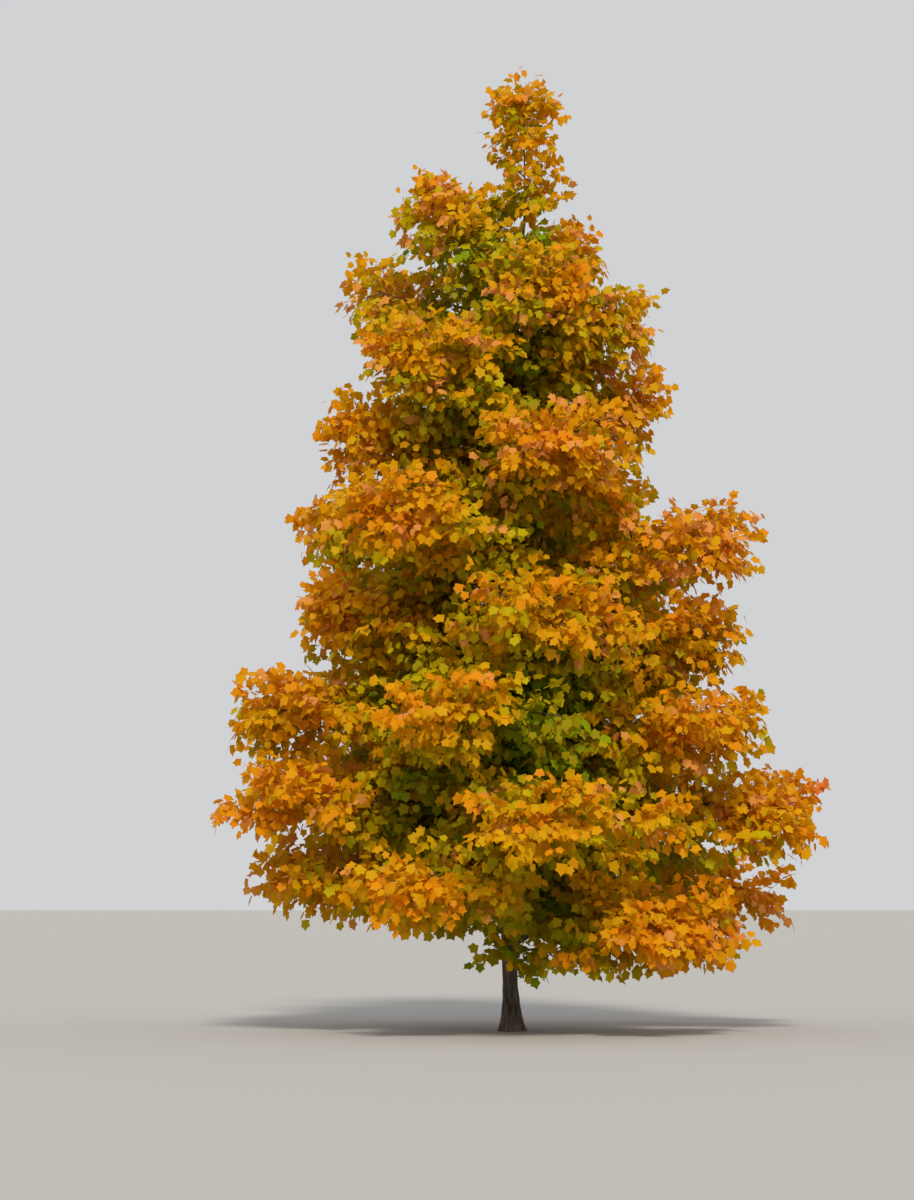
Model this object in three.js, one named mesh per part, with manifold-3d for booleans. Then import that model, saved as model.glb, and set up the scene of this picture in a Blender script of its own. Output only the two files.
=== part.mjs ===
// A young red maple in autumn leaf: one trunk with a root flare, boughs in rising tiers, and the
// masses of foliage that the boughs and the upper trunk carry.
// Millimetres, +Z up. The origin is the middle of the flat cut under the trunk, at ground level.
// Azimuth 0 is +X, the right of the front view, and it grows anticlockwise seen from above.

import * as THREE from "three";
import { mergeVertices } from "three/addons/utils/BufferGeometryUtils.js";
import Module from "manifold-3d";

// The whole tree.
const TREE_HEIGHT = 9700;
const TREE_SEED = 41;

// Trunk: radius above the flare, what the flare adds at the ground, and the lean of its tip.
const TRUNK_HEIGHT = 8150;
const TRUNK_RADIUS = 74;
const TRUNK_TIP_RADIUS = 11;
const TRUNK_TAPER = 0.85;
const FLARE_RADIUS = 58;
const FLARE_HEIGHT = 170;
const FLARE_LOBES = 4;
const FLARE_LOBE_SHARE = 0.28;
const TRUNK_LEAN = 130;
const TRUNK_BOW = 110;
const TRUNK_WEAVE = 55;
const TRUNK_SIDES = 12;
const TRUNK_RINGS = 13;
const TRUNK_RING_SPACING = 1.7;

// Crown: its widest radius and height, how fast it narrows upwards, how it tucks in below, how
// much further its upper part reaches to the left, and its underside, which is highest at the trunk.
const CROWN_RADIUS = 3200;
const WIDEST_HEIGHT = 2150;
const CROWN_TAPER = 0.62;
const SKIRT_TUCK = 0.12;
const LEFT_BIAS = 0.3;
const GROUND_CLEARANCE = 500;
const UNDERSIDE_HEIGHT = 950;
const UNDERSIDE_RADIUS = 900;

// Tiers of boughs, from the lowest up: masses in each, and the azimuth of its first. Some masses
// stand out past the crown's line or keep inside it, by these factors, or are raised or lowered.
const FIRST_TIER_HEIGHT = 1420;
const TIER_STEP = 950;
const TIER_STEP_LOSS = 15;
const TIERS = [
  { masses: 5, azimuth: 178 },
  { masses: 5, azimuth: 350 },
  { masses: 5, azimuth: 190 },
  { masses: 5, azimuth: 344 },
  { masses: 4, azimuth: 328 },
  { masses: 4, azimuth: 10 },
  { masses: 3, azimuth: 230 },
  { masses: 3, azimuth: 152 },
  { masses: 1, azimuth: 195 },
];
const ARM_FACTORS = {
  "1a": 0.85,
  "1c": 1.12,
  "1d": 1.15,
  "3a": 0.93,
  "4a": 0.95,
  "4d": 0.77,
  "5a": 1.08,
  "5c": 0.96,
  "6a": 0.93,
  "6c": 0.8,
  "7b": 0.95,
  "8a": 1.06,
  "8b": 0.9,
  "8c": 0.62,
  "9a": 0.84,
};
const HEIGHT_SHIFTS = {
  "1a": 200,
  "1b": 350,
  "1c": 150,
  "1d": -350,
  "2a": 300,
  "3a": -150,
  "5a": 60,
  "7b": 600,
  "8a": -240,
  "9a": -60,
};
const BOUGHED_TIERS = 4;
const AZIMUTH_JITTER = 7;
const HEIGHT_JITTER = 50;
const REACH_JITTER = 0.06;

// Boughs: the share of the reach where they end, and their slope, on the lowest tier and the top.
const BOUGH_SHARE = 0.4;
const LIMB_ROOT_SHARE = 0.48;
const BOUGH_TAPER = 0.7;
const BOUGH_SIDES = 6;
const BOUGH_SHARES = [0, 0.5, 1];
const BOUGH_SLOPES = [0.3, 1.3];
const TIP_SLOPE = 0.4;
const KNEE_SHARE = 0.55;

// Foliage masses: each is a shelf of leaves round one stem, thinner towards its tip and rising
// more on the higher tiers.
const SHELF_HALF_HEIGHT = 620;
const SHELF_TIP_THINNING = 0.4;
const SHELF_RISES = [-0.03, 0.22];
const SHELF_CREST = 0.34;
const SHELF_SQUASH = 1.7;
const SITE_SHARE = 0.62;
const TIP_LEAF_SHARE = 0.8;
const STEM_SIDES = 4;
const STEM_TIP_RADII = [15, 10];
const TOP_REACH = 500;
const TOP_NARROWING = 0.25;
const TOP_SITE_SHARE = 0.45;
const TOP_LEAF_LENGTH = 360;

// Twigs, in opposite pairs along the stem, tried at the first of these lengths that fits.
const TWIG_PLACES = [0.2, 0.62];
const TOP_TWIG_PLACES = [0.06, 0.32, 0.58, 0.84];
const TWIG_THICKNESS = 0.68;
const TWIG_TAPER = 0.9;
const TWIG_SIDES = 3;
const TWIG_SHARES = [0.42, 0.27];
const TWIG_SPREADS = [62, 42];
const TWIG_ROLLS = [-6, 34];
const TWIG_LENGTHS = [1, 0.8, 0.62, 0.46];
const TWIG_SPREAD_JITTER = 9;
const TWIG_ROLL_JITTER = 14;
const TWIG_LENGTH_JITTER = 0.14;

// Leaves, each standing for a spray: the length on the lowest tier and at the top, and how far
// they hang. The outline runs from the base round the right side, in shares of the length.
const LEAF_LENGTHS = [620, 400];
const LEAF_SHARE = 0.44;
const LEAF_THICKNESS = 0.024;
const LEAF_ROOT = 3;
const LEAF_MIDDLE = 0.26;
const LEAF_FOLD = 0.12;
const LEAF_OUTLINE = [
  [0, 0],
  [0.56, 0.44],
  [1, 0],
  [0.56, -0.44],
];
const LEAF_HANG = 0.85;
const LEAF_HANG_JITTER = 0.5;
const LEAF_JITTER = 0.1;
const LEAF_LEAN_OUT = 0.8;
const LEAF_WANDER = 0.35;
const LEAF_TRIES = 3;
const LEAF_TRY_LOSS = 0.08;
const LEAF_TRY_STRAY = 0.22;
const LEAF_PAIR_PLACES = [0.66, 0.3];
const LEAF_PAIR_STAGGER = 0.06;
const DOUBLE_PAIR_TIERS = 3;
const LEAF_END_PLACE = 0.97;
const LEAF_PAIR_SPREAD = 56;

// Spaces kept between solids.
const JOINT_GAP = 0.3;
const LIMB_CLEARANCE = 14;
const CELL_MARGIN = 16;
const LEAF_CLEARANCE = 4;
const BEAD_STEP = 60;
const FLAT_TOLERANCE = 0.01;

// A limb counts as upright past this share of its length, and the seeds of what a mass grows.
const UPRIGHT = 0.98;
const STEM_KEY = 9;
const TWIG_KEYS = 10;
const LEAF_KEYS = 40;

const UP = new THREE.Vector3(0, 0, 1);

const wasm = await Module();
wasm.setup();

const mix = (from, to, share) => from + (to - from) * share;
const between = ([from, to], share) => mix(from, to, share);
const radians = (degrees) => (degrees * Math.PI) / 180;

// A number from 0 to 1 that depends only on the whole numbers given.
function chance(...keys) {
  let mixed = TREE_SEED;
  for (const key of keys) {
    mixed = Math.imul(mixed ^ (key + 0x9e3779b9), 0x85ebca6b);
    mixed = Math.imul(mixed ^ (mixed >>> 13), 0xc2b2ae35);
    mixed ^= mixed >>> 16;
  }
  return (mixed >>> 0) / 4294967296;
}

const jitter = (size, ...keys) => size * (2 * chance(...keys) - 1);

// A vector from another and steps along given directions.
function moved(from, ...steps) {
  const point = from.clone();
  for (const [direction, size] of steps) point.addScaledVector(direction, size);
  return point;
}

const outwards = (azimuth) =>
  new THREE.Vector3(Math.cos(azimuth), Math.sin(azimuth), 0);

// The part of a vector square to a direction, at length 1.
const squareTo = (vector, direction) =>
  moved(vector, [direction, -vector.dot(direction)]).normalize();

// The trunk's centre and radius at a height.
function trunkCentre(height) {
  const share = height / TRUNK_HEIGHT;
  return new THREE.Vector3(
    TRUNK_LEAN * share * share - TRUNK_BOW * Math.sin(Math.PI * share),
    TRUNK_WEAVE * Math.sin(2 * Math.PI * share),
    height,
  );
}

function trunkRadius(height, angle = 0) {
  const taper = (1 - height / TRUNK_HEIGHT) ** TRUNK_TAPER;
  const lobes = 1 + FLARE_LOBE_SHARE * Math.cos(FLARE_LOBES * angle);
  const flare = FLARE_RADIUS * lobes * Math.exp(-height / FLARE_HEIGHT);
  return mix(TRUNK_TIP_RADIUS, TRUNK_RADIUS, taper) + flare;
}

// How far the crown reaches from the trunk, at a height and an azimuth.
function crownReach(height, azimuth) {
  const above = (TREE_HEIGHT - height) / (TREE_HEIGHT - WIDEST_HEIGHT);
  const below = (WIDEST_HEIGHT - height) / (WIDEST_HEIGHT - FIRST_TIER_HEIGHT);
  const rounded = 1 - SKIRT_TUCK * below * below;
  const share = height > WIDEST_HEIGHT ? above ** CROWN_TAPER : rounded;
  const bias = LEFT_BIAS * (height / TREE_HEIGHT) ** 2 * Math.cos(azimuth);
  return CROWN_RADIUS * share * (1 - bias);
}

// The tiers run into each other as one spiral, which drops a step in each turn anticlockwise.
function tierHeight(level, azimuth) {
  const turns = azimuth / (2 * Math.PI);
  const place = level + 0.5 - (turns - Math.floor(turns));
  return FIRST_TIER_HEIGHT + (TIER_STEP - TIER_STEP_LOSS * place) * place;
}

// The places of the masses, tier by tier and then the top one, each with its own curves.
function placeMasses() {
  const places = TIERS.flatMap((tier, level) =>
    Array.from({ length: tier.masses }, (_, turn) => {
      const key = 100 * (level + 1) + turn;
      const label = `${level + 1}${String.fromCharCode(97 + turn)}`;
      const degrees = tier.azimuth + (360 * turn) / tier.masses;
      const azimuth = radians(degrees + jitter(AZIMUTH_JITTER, key, 1));
      const raised = (HEIGHT_SHIFTS[label] ?? 0) + jitter(HEIGHT_JITTER, key, 2);
      const height = tierHeight(level, azimuth) + raised;
      const arm = (ARM_FACTORS[label] ?? 1) * (1 + jitter(REACH_JITTER, key, 3));
      const reach = arm * crownReach(height, azimuth);
      return { key, label, level, azimuth, height, reach };
    }),
  );
  return [...places.map(layOutMass), topMass()];
}

// One mass's curves: the bough from inside the trunk, and the stem on from the bough's end.
function layOutMass(place) {
  const { azimuth, height, reach, level } = place;
  const share = level / TIERS.length;
  const slope = between(BOUGH_SLOPES, share);
  const rise = between(SHELF_RISES, share);
  const leafLength = Math.min(between(LEAF_LENGTHS, share), LEAF_SHARE * reach);
  const out = outwards(azimuth);
  const axis = trunkCentre(height);
  const boughReach = BOUGH_SHARE * reach;
  const root = trunkCentre(height - slope * boughReach);
  const join = moved(axis, [out, boughReach]);
  const heading = moved(out, [UP, TIP_SLOPE * slope]).normalize();
  const knee = moved(join, [heading, -KNEE_SHARE * boughReach]);
  const boughed = level < BOUGHED_TIERS;
  const start = boughed ? moved(join, [heading, JOINT_GAP]) : join;
  const crest = moved(start, [heading, SHELF_CREST * reach]);
  const tip = moved(axis, [out, reach - TIP_LEAF_SHARE * leafLength], [UP, rise * reach]);
  const site = moved(
    axis,
    [out, SITE_SHARE * reach],
    [UP, SITE_SHARE ** 2 * rise * reach],
  );
  const bough = new THREE.QuadraticBezierCurve3(root, knee, join);
  const stem = new THREE.QuadraticBezierCurve3(start, crest, tip);
  const tipRadius = between(STEM_TIP_RADII, share);
  const rootRadius = Math.max(LIMB_ROOT_SHARE * trunkRadius(root.z), tipRadius);
  const joinRadius = BOUGH_TAPER * rootRadius;
  const radii = { rootRadius, joinRadius, tipRadius };
  const curves = { bough, stem, twigPlaces: TWIG_PLACES };
  return { ...place, out, rise, leafLength, boughed, site, ...curves, ...radii };
}

// The spray that ends the tree, straight on from the trunk's tip.
function topMass() {
  const level = TIERS.length;
  const leafLength = TOP_LEAF_LENGTH;
  const start = moved(trunkCentre(TRUNK_HEIGHT), [UP, JOINT_GAP]);
  const tip = start.clone().setZ(TREE_HEIGHT - leafLength);
  const middle = start.clone().lerp(tip, 0.5);
  return {
    key: 100 * (level + 1),
    label: "top",
    level,
    height: start.z,
    reach: TOP_REACH,
    out: outwards(Math.PI),
    rise: 0,
    leafLength,
    boughed: true,
    site: start.clone().lerp(tip, TOP_SITE_SHARE),
    bough: null,
    stem: new THREE.QuadraticBezierCurve3(start, middle, tip),
    twigPlaces: TOP_TWIG_PLACES,
    joinRadius: TRUNK_TIP_RADIUS,
    tipRadius: STEM_TIP_RADII[1],
  };
}

// True where a point keeps inside the mass's own space: nearer to its middle than to any other's,
// within its reach and its shelf's thickness, and above the crown's underside.
function inSpace(point, mass, { masses }) {
  const axis = trunkCentre(Math.min(point.z, TRUNK_HEIGHT));
  const radius = Math.hypot(point.x - axis.x, point.y - axis.y);
  if (point.z < undersideAt(radius) || point.z > TREE_HEIGHT) return false;
  if (radius > reachAt(point.z, mass)) return false;
  const shelf = mass.height + (mass.rise * radius * radius) / mass.reach;
  const depth = Math.abs(point.z - shelf);
  if (mass.bough && depth > shelfDepthAt(radius, mass)) return false;
  return masses.every(
    (other) => other === mass || sideMargin(point, mass, other) > CELL_MARGIN,
  );
}

// The crown's underside, highest at the trunk, and a shelf's half height, least at its tip.
function undersideAt(radius) {
  return mix(UNDERSIDE_HEIGHT, GROUND_CLEARANCE, Math.min(1, radius / UNDERSIDE_RADIUS));
}

function shelfDepthAt(radius, { reach }) {
  return SHELF_HALF_HEIGHT * (1 - SHELF_TIP_THINNING * (radius / reach) ** 2);
}

// How far a mass reaches at a height: the top one narrows from its foot to its tip.
function reachAt(height, mass) {
  if (mass.bough) return mass.reach;
  const share = (height - mass.height) / (TREE_HEIGHT - mass.height);
  return mass.reach * (1 - TOP_NARROWING * Math.max(0, share));
}

// How far a point is on its own side of the plane between two masses, heights counting for more.
function sideMargin(point, own, other) {
  const [p, a, b] = [point, own.site, other.site].map(
    (v) => new THREE.Vector3(v.x, v.y, v.z * SHELF_SQUASH),
  );
  const lead = p.distanceToSquared(b) - p.distanceToSquared(a);
  return lead / (2 * a.distanceTo(b) * SHELF_SQUASH);
}

// Every limb as beads along it, to keep twigs and leaves clear of them.
function limbBeads(masses) {
  const beads = [];
  const string = (length, pointAt, radiusAt, owner) => {
    const count = Math.ceil(length / BEAD_STEP);
    for (let i = 0; i <= count; i++) {
      const share = i / count;
      beads.push({ point: pointAt(share), radius: radiusAt(share), owner });
    }
  };
  const height = (share) => share * TRUNK_HEIGHT;
  string(
    TRUNK_HEIGHT,
    (share) => trunkCentre(height(share)),
    (share) => trunkRadius(height(share)),
    null,
  );
  for (const mass of masses) {
    const { bough, stem, rootRadius, joinRadius } = mass;
    if (bough)
      string(
        bough.getLength(),
        (share) => bough.getPoint(share),
        (share) => mix(rootRadius, joinRadius, share),
        mass,
      );
    string(
      stem.getLength(),
      (share) => stem.getPoint(share),
      () => joinRadius,
      mass,
    );
  }
  return beads;
}

// A path along a curve: points at the given shares of it, each with its direction.
function pathAlong(curve, shares) {
  return shares.map((share) => ({
    point: curve.getPoint(share),
    along: curve.getTangent(share),
  }));
}

// The trunk's rings lie level, closer together in the flare.
const trunkRingHeight = (share) => TRUNK_HEIGHT * share ** TRUNK_RING_SPACING;

function trunkPath() {
  return Array.from({ length: TRUNK_RINGS + 1 }, (_, i) => ({
    point: trunkCentre(trunkRingHeight(i / TRUNK_RINGS)),
    along: UP,
  }));
}

// A closed limb: a cylinder of straight sides whose rings are moved onto the path, square to it, with
// a flat side up.
function limbSolid(path, radiusAt, sides) {
  const rings = path.length - 1;
  const geometry = new THREE.CylinderGeometry(1, 1, 1, sides, rings);
  const frames = crossFrames(path);
  const flatUp = Math.PI / sides;
  const corners = geometry.attributes.position;
  for (let i = 0; i < corners.count; i++) {
    const corner = new THREE.Vector3().fromBufferAttribute(corners, i);
    const ring = Math.round((corner.y + 0.5) * rings);
    const angle = Math.atan2(corner.x, corner.z) + flatUp;
    const onAxis = Math.hypot(corner.x, corner.z) < 0.5;
    const radius = onAxis ? 0 : radiusAt(ring / rings, angle);
    const { side, over } = frames[ring];
    const place = moved(
      path[ring].point,
      [side, radius * Math.cos(angle)],
      [over, radius * Math.sin(angle)],
    );
    corners.setXYZ(i, place.x, place.y, place.z);
  }
  return solidOf(geometry);
}

// The two directions across the path at each point, the first as near to upwards as it can be.
function crossFrames(path) {
  return path.map(({ along }) => {
    const upright = Math.abs(along.z) > UPRIGHT;
    const side = squareTo(upright ? new THREE.Vector3(1, 0, 0) : UP, along);
    return { side, over: new THREE.Vector3().crossVectors(along, side) };
  });
}

// A solid of a closed geometry, and a geometry of a solid.
function solidOf(geometry) {
  geometry.deleteAttribute("normal");
  geometry.deleteAttribute("uv");
  const merged = mergeVertices(geometry);
  const mesh = new wasm.Mesh({
    numProp: 3,
    vertProperties: merged.attributes.position.array,
    triVerts: new Uint32Array(merged.index.array),
  });
  return new wasm.Manifold(mesh).setTolerance(FLAT_TOLERANCE);
}

function geometryOf(solid) {
  const { vertProperties, triVerts } = solid.getMesh();
  const geometry = new THREE.BufferGeometry();
  const position = new THREE.BufferAttribute(vertProperties, 3);
  geometry.setAttribute("position", position);
  geometry.setIndex(new THREE.BufferAttribute(triVerts, 1));
  geometry.computeVertexNormals();
  return geometry;
}

function trunkSolid(grow = 0) {
  const radiusAt = (share, angle) =>
    trunkRadius(trunkRingHeight(share), angle) + grow;
  return limbSolid(trunkPath(), radiusAt, TRUNK_SIDES);
}

function boughSolid({ bough, rootRadius, joinRadius }) {
  const radiusAt = (share) => mix(rootRadius, joinRadius, share);
  return limbSolid(pathAlong(bough, BOUGH_SHARES), radiusAt, BOUGH_SIDES);
}

// The stem of a mass. Where it has no bough of its own, it starts inside the trunk.
function stemSolid(mass) {
  const { bough, boughed, stem, twigPlaces } = mass;
  const own = pathAlong(stem, [0, ...twigPlaces, 1]);
  const carried = boughed ? [] : pathAlong(bough, BOUGH_SHARES).slice(0, -1);
  const root = boughed ? mass.joinRadius : mass.rootRadius;
  const radiusAt = (share) => mix(root, mass.tipRadius, share);
  return limbSolid([...carried, ...own], radiusAt, STEM_SIDES);
}

function twigSolid({ start, end }, { tipRadius }) {
  const root = TWIG_THICKNESS * tipRadius;
  const radiusAt = (share) => mix(root, TWIG_TAPER * root, share);
  const path = pathAlong(new THREE.LineCurve3(start, end), [0, 1]);
  return limbSolid(path, radiusAt, TWIG_SIDES);
}

// The twigs of a mass: opposite pairs along its stem, hanging and raised by turns.
function growTwigs(mass, crown) {
  const twigs = [];
  mass.twigPlaces.forEach((share, pair) => {
    const start = mass.stem.getPoint(share);
    const along = mass.stem.getTangent(share);
    const level = new THREE.Vector3().crossVectors(mass.out, UP);
    if (!mass.bough) level.applyAxisAngle(UP, pair * 0.5 * Math.PI);
    for (const hand of [-1, 1]) {
      const key = [mass.key, TWIG_KEYS + pair, 2 + hand];
      const spread = radians(between(TWIG_SPREADS, share) + jitter(TWIG_SPREAD_JITTER, ...key, 1));
      const turn = TWIG_ROLLS[(pair + (hand > 0 ? 1 : 0)) % 2];
      const roll = radians(turn + jitter(TWIG_ROLL_JITTER, ...key, 2));
      const across = level.clone().multiplyScalar(hand * Math.cos(roll));
      across.addScaledVector(UP, Math.sin(roll));
      const aside = squareTo(across, along);
      const heading = moved(
        new THREE.Vector3(),
        [along, Math.cos(spread)],
        [aside, Math.sin(spread)],
      );
      const longer = 1 + jitter(TWIG_LENGTH_JITTER, ...key, 3);
      const size = between(TWIG_SHARES, share) * longer;
      const end = TWIG_LENGTHS.map((part) =>
        moved(start, [heading, size * part * mass.reach]),
      ).find(
        (point) =>
          inSpace(moved(point, [heading, 0.5 * mass.leafLength]), mass, crown) &&
          twigIsClear(start, point, mass, crown),
      );
      const double = pair === 0 && mass.level < DOUBLE_PAIR_TIERS;
      if (end) twigs.push({ start, end, key, pairs: double ? 2 : 1 });
    }
  });
  return twigs;
}

function twigIsClear(start, end, mass, crown) {
  const line = new THREE.Line3(start, end);
  const nearest = new THREE.Vector3();
  return crown.beads.every(({ point, radius, owner }) => {
    if (owner === mass) return true;
    line.closestPointToPoint(point, true, nearest);
    const gap = nearest.distanceTo(point) - radius - mass.tipRadius;
    return gap > LIMB_CLEARANCE;
  });
}

// The leaves of a mass: one at the end of each twig and of the stem, and pairs further back.
function growLeaves(mass, twigs, limbs, crown) {
  const stemEnd = {
    start: mass.stem.getPoint(mass.twigPlaces.at(-1)),
    end: mass.stem.getPoint(1),
    key: [mass.key, STEM_KEY],
    pairs: 1,
  };
  const leaves = [];
  [stemEnd, ...twigs].forEach((carrier, own) => {
    const others = limbs.filter((_, index) => index !== own);
    for (const shoot of leafShoots(carrier, mass)) {
      const leaf = findLeaf(shoot, mass, crown, [...others, ...leaves]);
      if (leaf) leaves.push(leaf);
    }
  });
  return leaves;
}

// Where the leaves of one twig spring from, and which way.
function leafShoots({ start, end, key, pairs }, mass) {
  const along = end.clone().sub(start).normalize();
  const tall = Math.abs(along.z) > UPRIGHT;
  const level = tall
    ? mass.out
    : new THREE.Vector3().crossVectors(along, UP).normalize();
  const spread = radians(LEAF_PAIR_SPREAD);
  const tipHang = tall ? 0 : LEAF_HANG;
  const tip = start.clone().lerp(end, LEAF_END_PLACE);
  const tipKey = [...key, LEAF_KEYS];
  const shoots = [{ root: tip, heading: along, hang: tipHang, key: tipKey }];
  for (let pair = 0; pair < pairs; pair++)
    for (const hand of [-1, 1]) {
      const place = LEAF_PAIR_PLACES[pair] + hand * LEAF_PAIR_STAGGER;
      const heading = moved(
        new THREE.Vector3(),
        [along, Math.cos(spread)],
        [level, hand * Math.sin(spread)],
      );
      const root = start.clone().lerp(end, place);
      const leafKey = [...key, LEAF_KEYS + 2 + 3 * pair + hand];
      shoots.push({ root, heading, hang: LEAF_HANG, key: leafKey });
    }
  return shoots;
}

// The first of a few tries at a leaf that keeps to the mass's space, clear of limbs and leaves.
function findLeaf(shoot, mass, crown, neighbours) {
  const { root, heading, hang, key } = shoot;
  for (let attempt = 0; attempt < LEAF_TRIES; attempt++) {
    const keys = [...key, attempt];
    const longer = jitter(LEAF_JITTER, ...keys, 1) - LEAF_TRY_LOSS * attempt;
    const length = mass.leafLength * (1 + longer);
    const wander = outwards(2 * Math.PI * chance(...keys, 2));
    const along = moved(
      heading,
      [UP, -hang * (1 + jitter(LEAF_HANG_JITTER, ...keys, 3))],
      [wander, LEAF_TRY_STRAY * attempt],
    ).normalize();
    const facing = moved(UP, [mass.out, LEAF_LEAN_OUT], [wander, LEAF_WANDER]);
    const face = squareTo(facing, along);
    const across = new THREE.Vector3().crossVectors(along, face);
    const base = moved(root, [along, -LEAF_ROOT]);
    const leaf = { base, along, across, face, length };
    const corners = leafOutline(leaf).slice(1);
    const inside = corners.every((corner) => inSpace(corner, mass, crown));
    if (!inside || !leafIsClear(leaf, mass, crown)) continue;
    const solid = leafSolid(leaf);
    const clear = neighbours.every(
      (other) => solid.minGap(other, LEAF_CLEARANCE) >= LEAF_CLEARANCE,
    );
    if (clear) return solid;
  }
  return null;
}

// A leaf's outline, its sides bent down a little from the middle.
function leafOutline({ base, along, across, face, length }) {
  return LEAF_OUTLINE.map(([forward, sideways]) =>
    moved(
      base,
      [along, forward * length],
      [across, sideways * length],
      [face, -LEAF_FOLD * Math.abs(sideways) * length],
    ),
  );
}

// True where a leaf, as a flat box, is clear of the beads that aren't at its own root.
function leafIsClear({ base, along, across, face, length }, mass, crown) {
  const toBead = new THREE.Vector3();
  return crown.beads.every(({ point, radius, owner }) => {
    toBead.subVectors(point, base);
    const near = radius + LIMB_CLEARANCE;
    if (toBead.length() > length + near) return true;
    if (owner === mass) return true;
    const forward = toBead.dot(along);
    return (
      Math.abs(toBead.dot(face)) > near + LEAF_FOLD * 0.5 * length ||
      Math.abs(toBead.dot(across)) > near + LEAF_OUTLINE[1][1] * length ||
      forward < -near ||
      forward > length + near
    );
  });
}

// A leaf: a sphere of one ring, the ring moved onto the outline and the poles to the middle.
function leafSolid(leaf) {
  const outline = leafOutline(leaf);
  const count = outline.length;
  const geometry = new THREE.SphereGeometry(1, count, 2);
  const corners = geometry.attributes.position;
  const { base, along, face, length } = leaf;
  for (let i = 0; i < corners.count; i++) {
    const corner = new THREE.Vector3().fromBufferAttribute(corners, i);
    const turn = Math.atan2(corner.z, -corner.x) / (2 * Math.PI);
    const side = Math.round((turn + 1) * count) % count;
    const middle = moved(
      base,
      [along, LEAF_MIDDLE * length],
      [face, 0.5 * Math.sign(corner.y) * LEAF_THICKNESS * length],
    );
    const place = Math.abs(corner.y) > 0.5 ? middle : outline[side];
    corners.setXYZ(i, place.x, place.y, place.z);
  }
  return solidOf(geometry);
}

// One mass of foliage as one fused solid. A scrap that the trunk cuts loose is dropped.
function massSolid(mass, crown, trunkCutter) {
  const twigs = growTwigs(mass, crown);
  const limbs = [stemSolid(mass), ...twigs.map((twig) => twigSolid(twig, mass))];
  const leaves = growLeaves(mass, twigs, limbs, crown);
  const fused = wasm.Manifold.union([...limbs, ...leaves]);
  const whole = mass.boughed ? fused : fused.subtract(trunkCutter);
  const bodies = whole.decompose();
  bodies.sort((a, b) => b.volume() - a.volume());
  return bodies[0];
}

// Materials.
const bark = new THREE.MeshStandardMaterial({
  color: 0x5f5245,
  roughness: 0.9,
  metalness: 0,
});
const leafColours = [0xd98a14, 0xe0901a, 0xe89a2c];

function leafMaterial(level) {
  return new THREE.MeshStandardMaterial({
    color: leafColours[Math.min(2, Math.floor(level / 3))],
    roughness: 0.6,
    metalness: 0,
  });
}

function named(name, solid, material) {
  const mesh = new THREE.Mesh(geometryOf(solid), material);
  mesh.name = name;
  return mesh;
}

function buildTree() {
  const tree = new THREE.Group();
  const masses = placeMasses();
  const crown = { masses, beads: limbBeads(masses) };
  const trunkCutter = trunkSolid(JOINT_GAP);
  tree.add(named("trunk", trunkSolid(), bark));
  for (const mass of masses) {
    if (mass.bough && mass.boughed) {
      const cut = boughSolid(mass).subtract(trunkCutter);
      tree.add(named(`bough_${mass.label}`, cut, bark));
    }
    const solid = massSolid(mass, crown, trunkCutter);
    tree.add(named(`foliage_${mass.label}`, solid, leafMaterial(mass.level)));
  }
  return tree;
}

export default buildTree();
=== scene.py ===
"""A young red maple in autumn leaf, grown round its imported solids.

The trunk and boughs get bark with relief. Each mass of foliage is grown again by the rule that
made its solid, from the same named sizes, and carried on to branchlets, shoots and single leaves.
Metres, +Z up. The origin is the middle of the trunk's foot. Azimuth 0 is +X, the right of the
front view, and it grows anticlockwise seen from above.
"""

import logging
import math
from dataclasses import dataclass, field
from enum import Enum
from functools import partial
from typing import Callable, ClassVar, Iterator, Sequence

import bmesh
import bpy
import numpy as np
from mathutils import Matrix, Vector, noise

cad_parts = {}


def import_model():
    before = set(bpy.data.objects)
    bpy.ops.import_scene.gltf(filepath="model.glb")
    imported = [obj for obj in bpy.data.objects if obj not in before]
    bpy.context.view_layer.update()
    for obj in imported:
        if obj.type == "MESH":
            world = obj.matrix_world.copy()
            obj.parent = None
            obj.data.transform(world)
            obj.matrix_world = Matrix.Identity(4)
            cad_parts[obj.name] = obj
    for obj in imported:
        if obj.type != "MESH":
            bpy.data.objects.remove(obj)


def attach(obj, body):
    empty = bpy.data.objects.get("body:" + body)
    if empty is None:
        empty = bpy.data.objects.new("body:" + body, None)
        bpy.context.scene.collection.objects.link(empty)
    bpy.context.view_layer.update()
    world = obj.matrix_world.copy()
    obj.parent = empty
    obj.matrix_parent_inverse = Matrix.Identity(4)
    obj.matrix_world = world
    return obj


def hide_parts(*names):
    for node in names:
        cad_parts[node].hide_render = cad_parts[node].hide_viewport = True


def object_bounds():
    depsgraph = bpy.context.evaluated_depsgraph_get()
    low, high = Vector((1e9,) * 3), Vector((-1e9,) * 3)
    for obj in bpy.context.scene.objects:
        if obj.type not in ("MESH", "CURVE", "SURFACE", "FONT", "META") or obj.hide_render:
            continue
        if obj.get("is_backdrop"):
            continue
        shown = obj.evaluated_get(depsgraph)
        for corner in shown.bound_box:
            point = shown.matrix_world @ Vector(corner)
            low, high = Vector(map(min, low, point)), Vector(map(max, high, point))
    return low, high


Pair = tuple[float, float]
Place = tuple[float, float, float]
Colour = tuple[float, float, float, float]

LOG = logging.getLogger("red_maple")
UP = Vector((0.0, 0.0, 1.0))
BODY = "root"
# How far leaves may stand beyond the solids' box, as a share of its size.
LEAF_ROOM = 0.02
# The rise from which a limb counts as upright, with no level side of its own.
STEEP = 0.9
# The numbers of the solids' seeded rule.
TREE_SEED = 41
WORD = 0xFFFFFFFF
KEY_STEP = 0x9E3779B9
FIRST_STIR = 0x85EBCA6B
SECOND_STIR = 0xC2B2AE35


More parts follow.
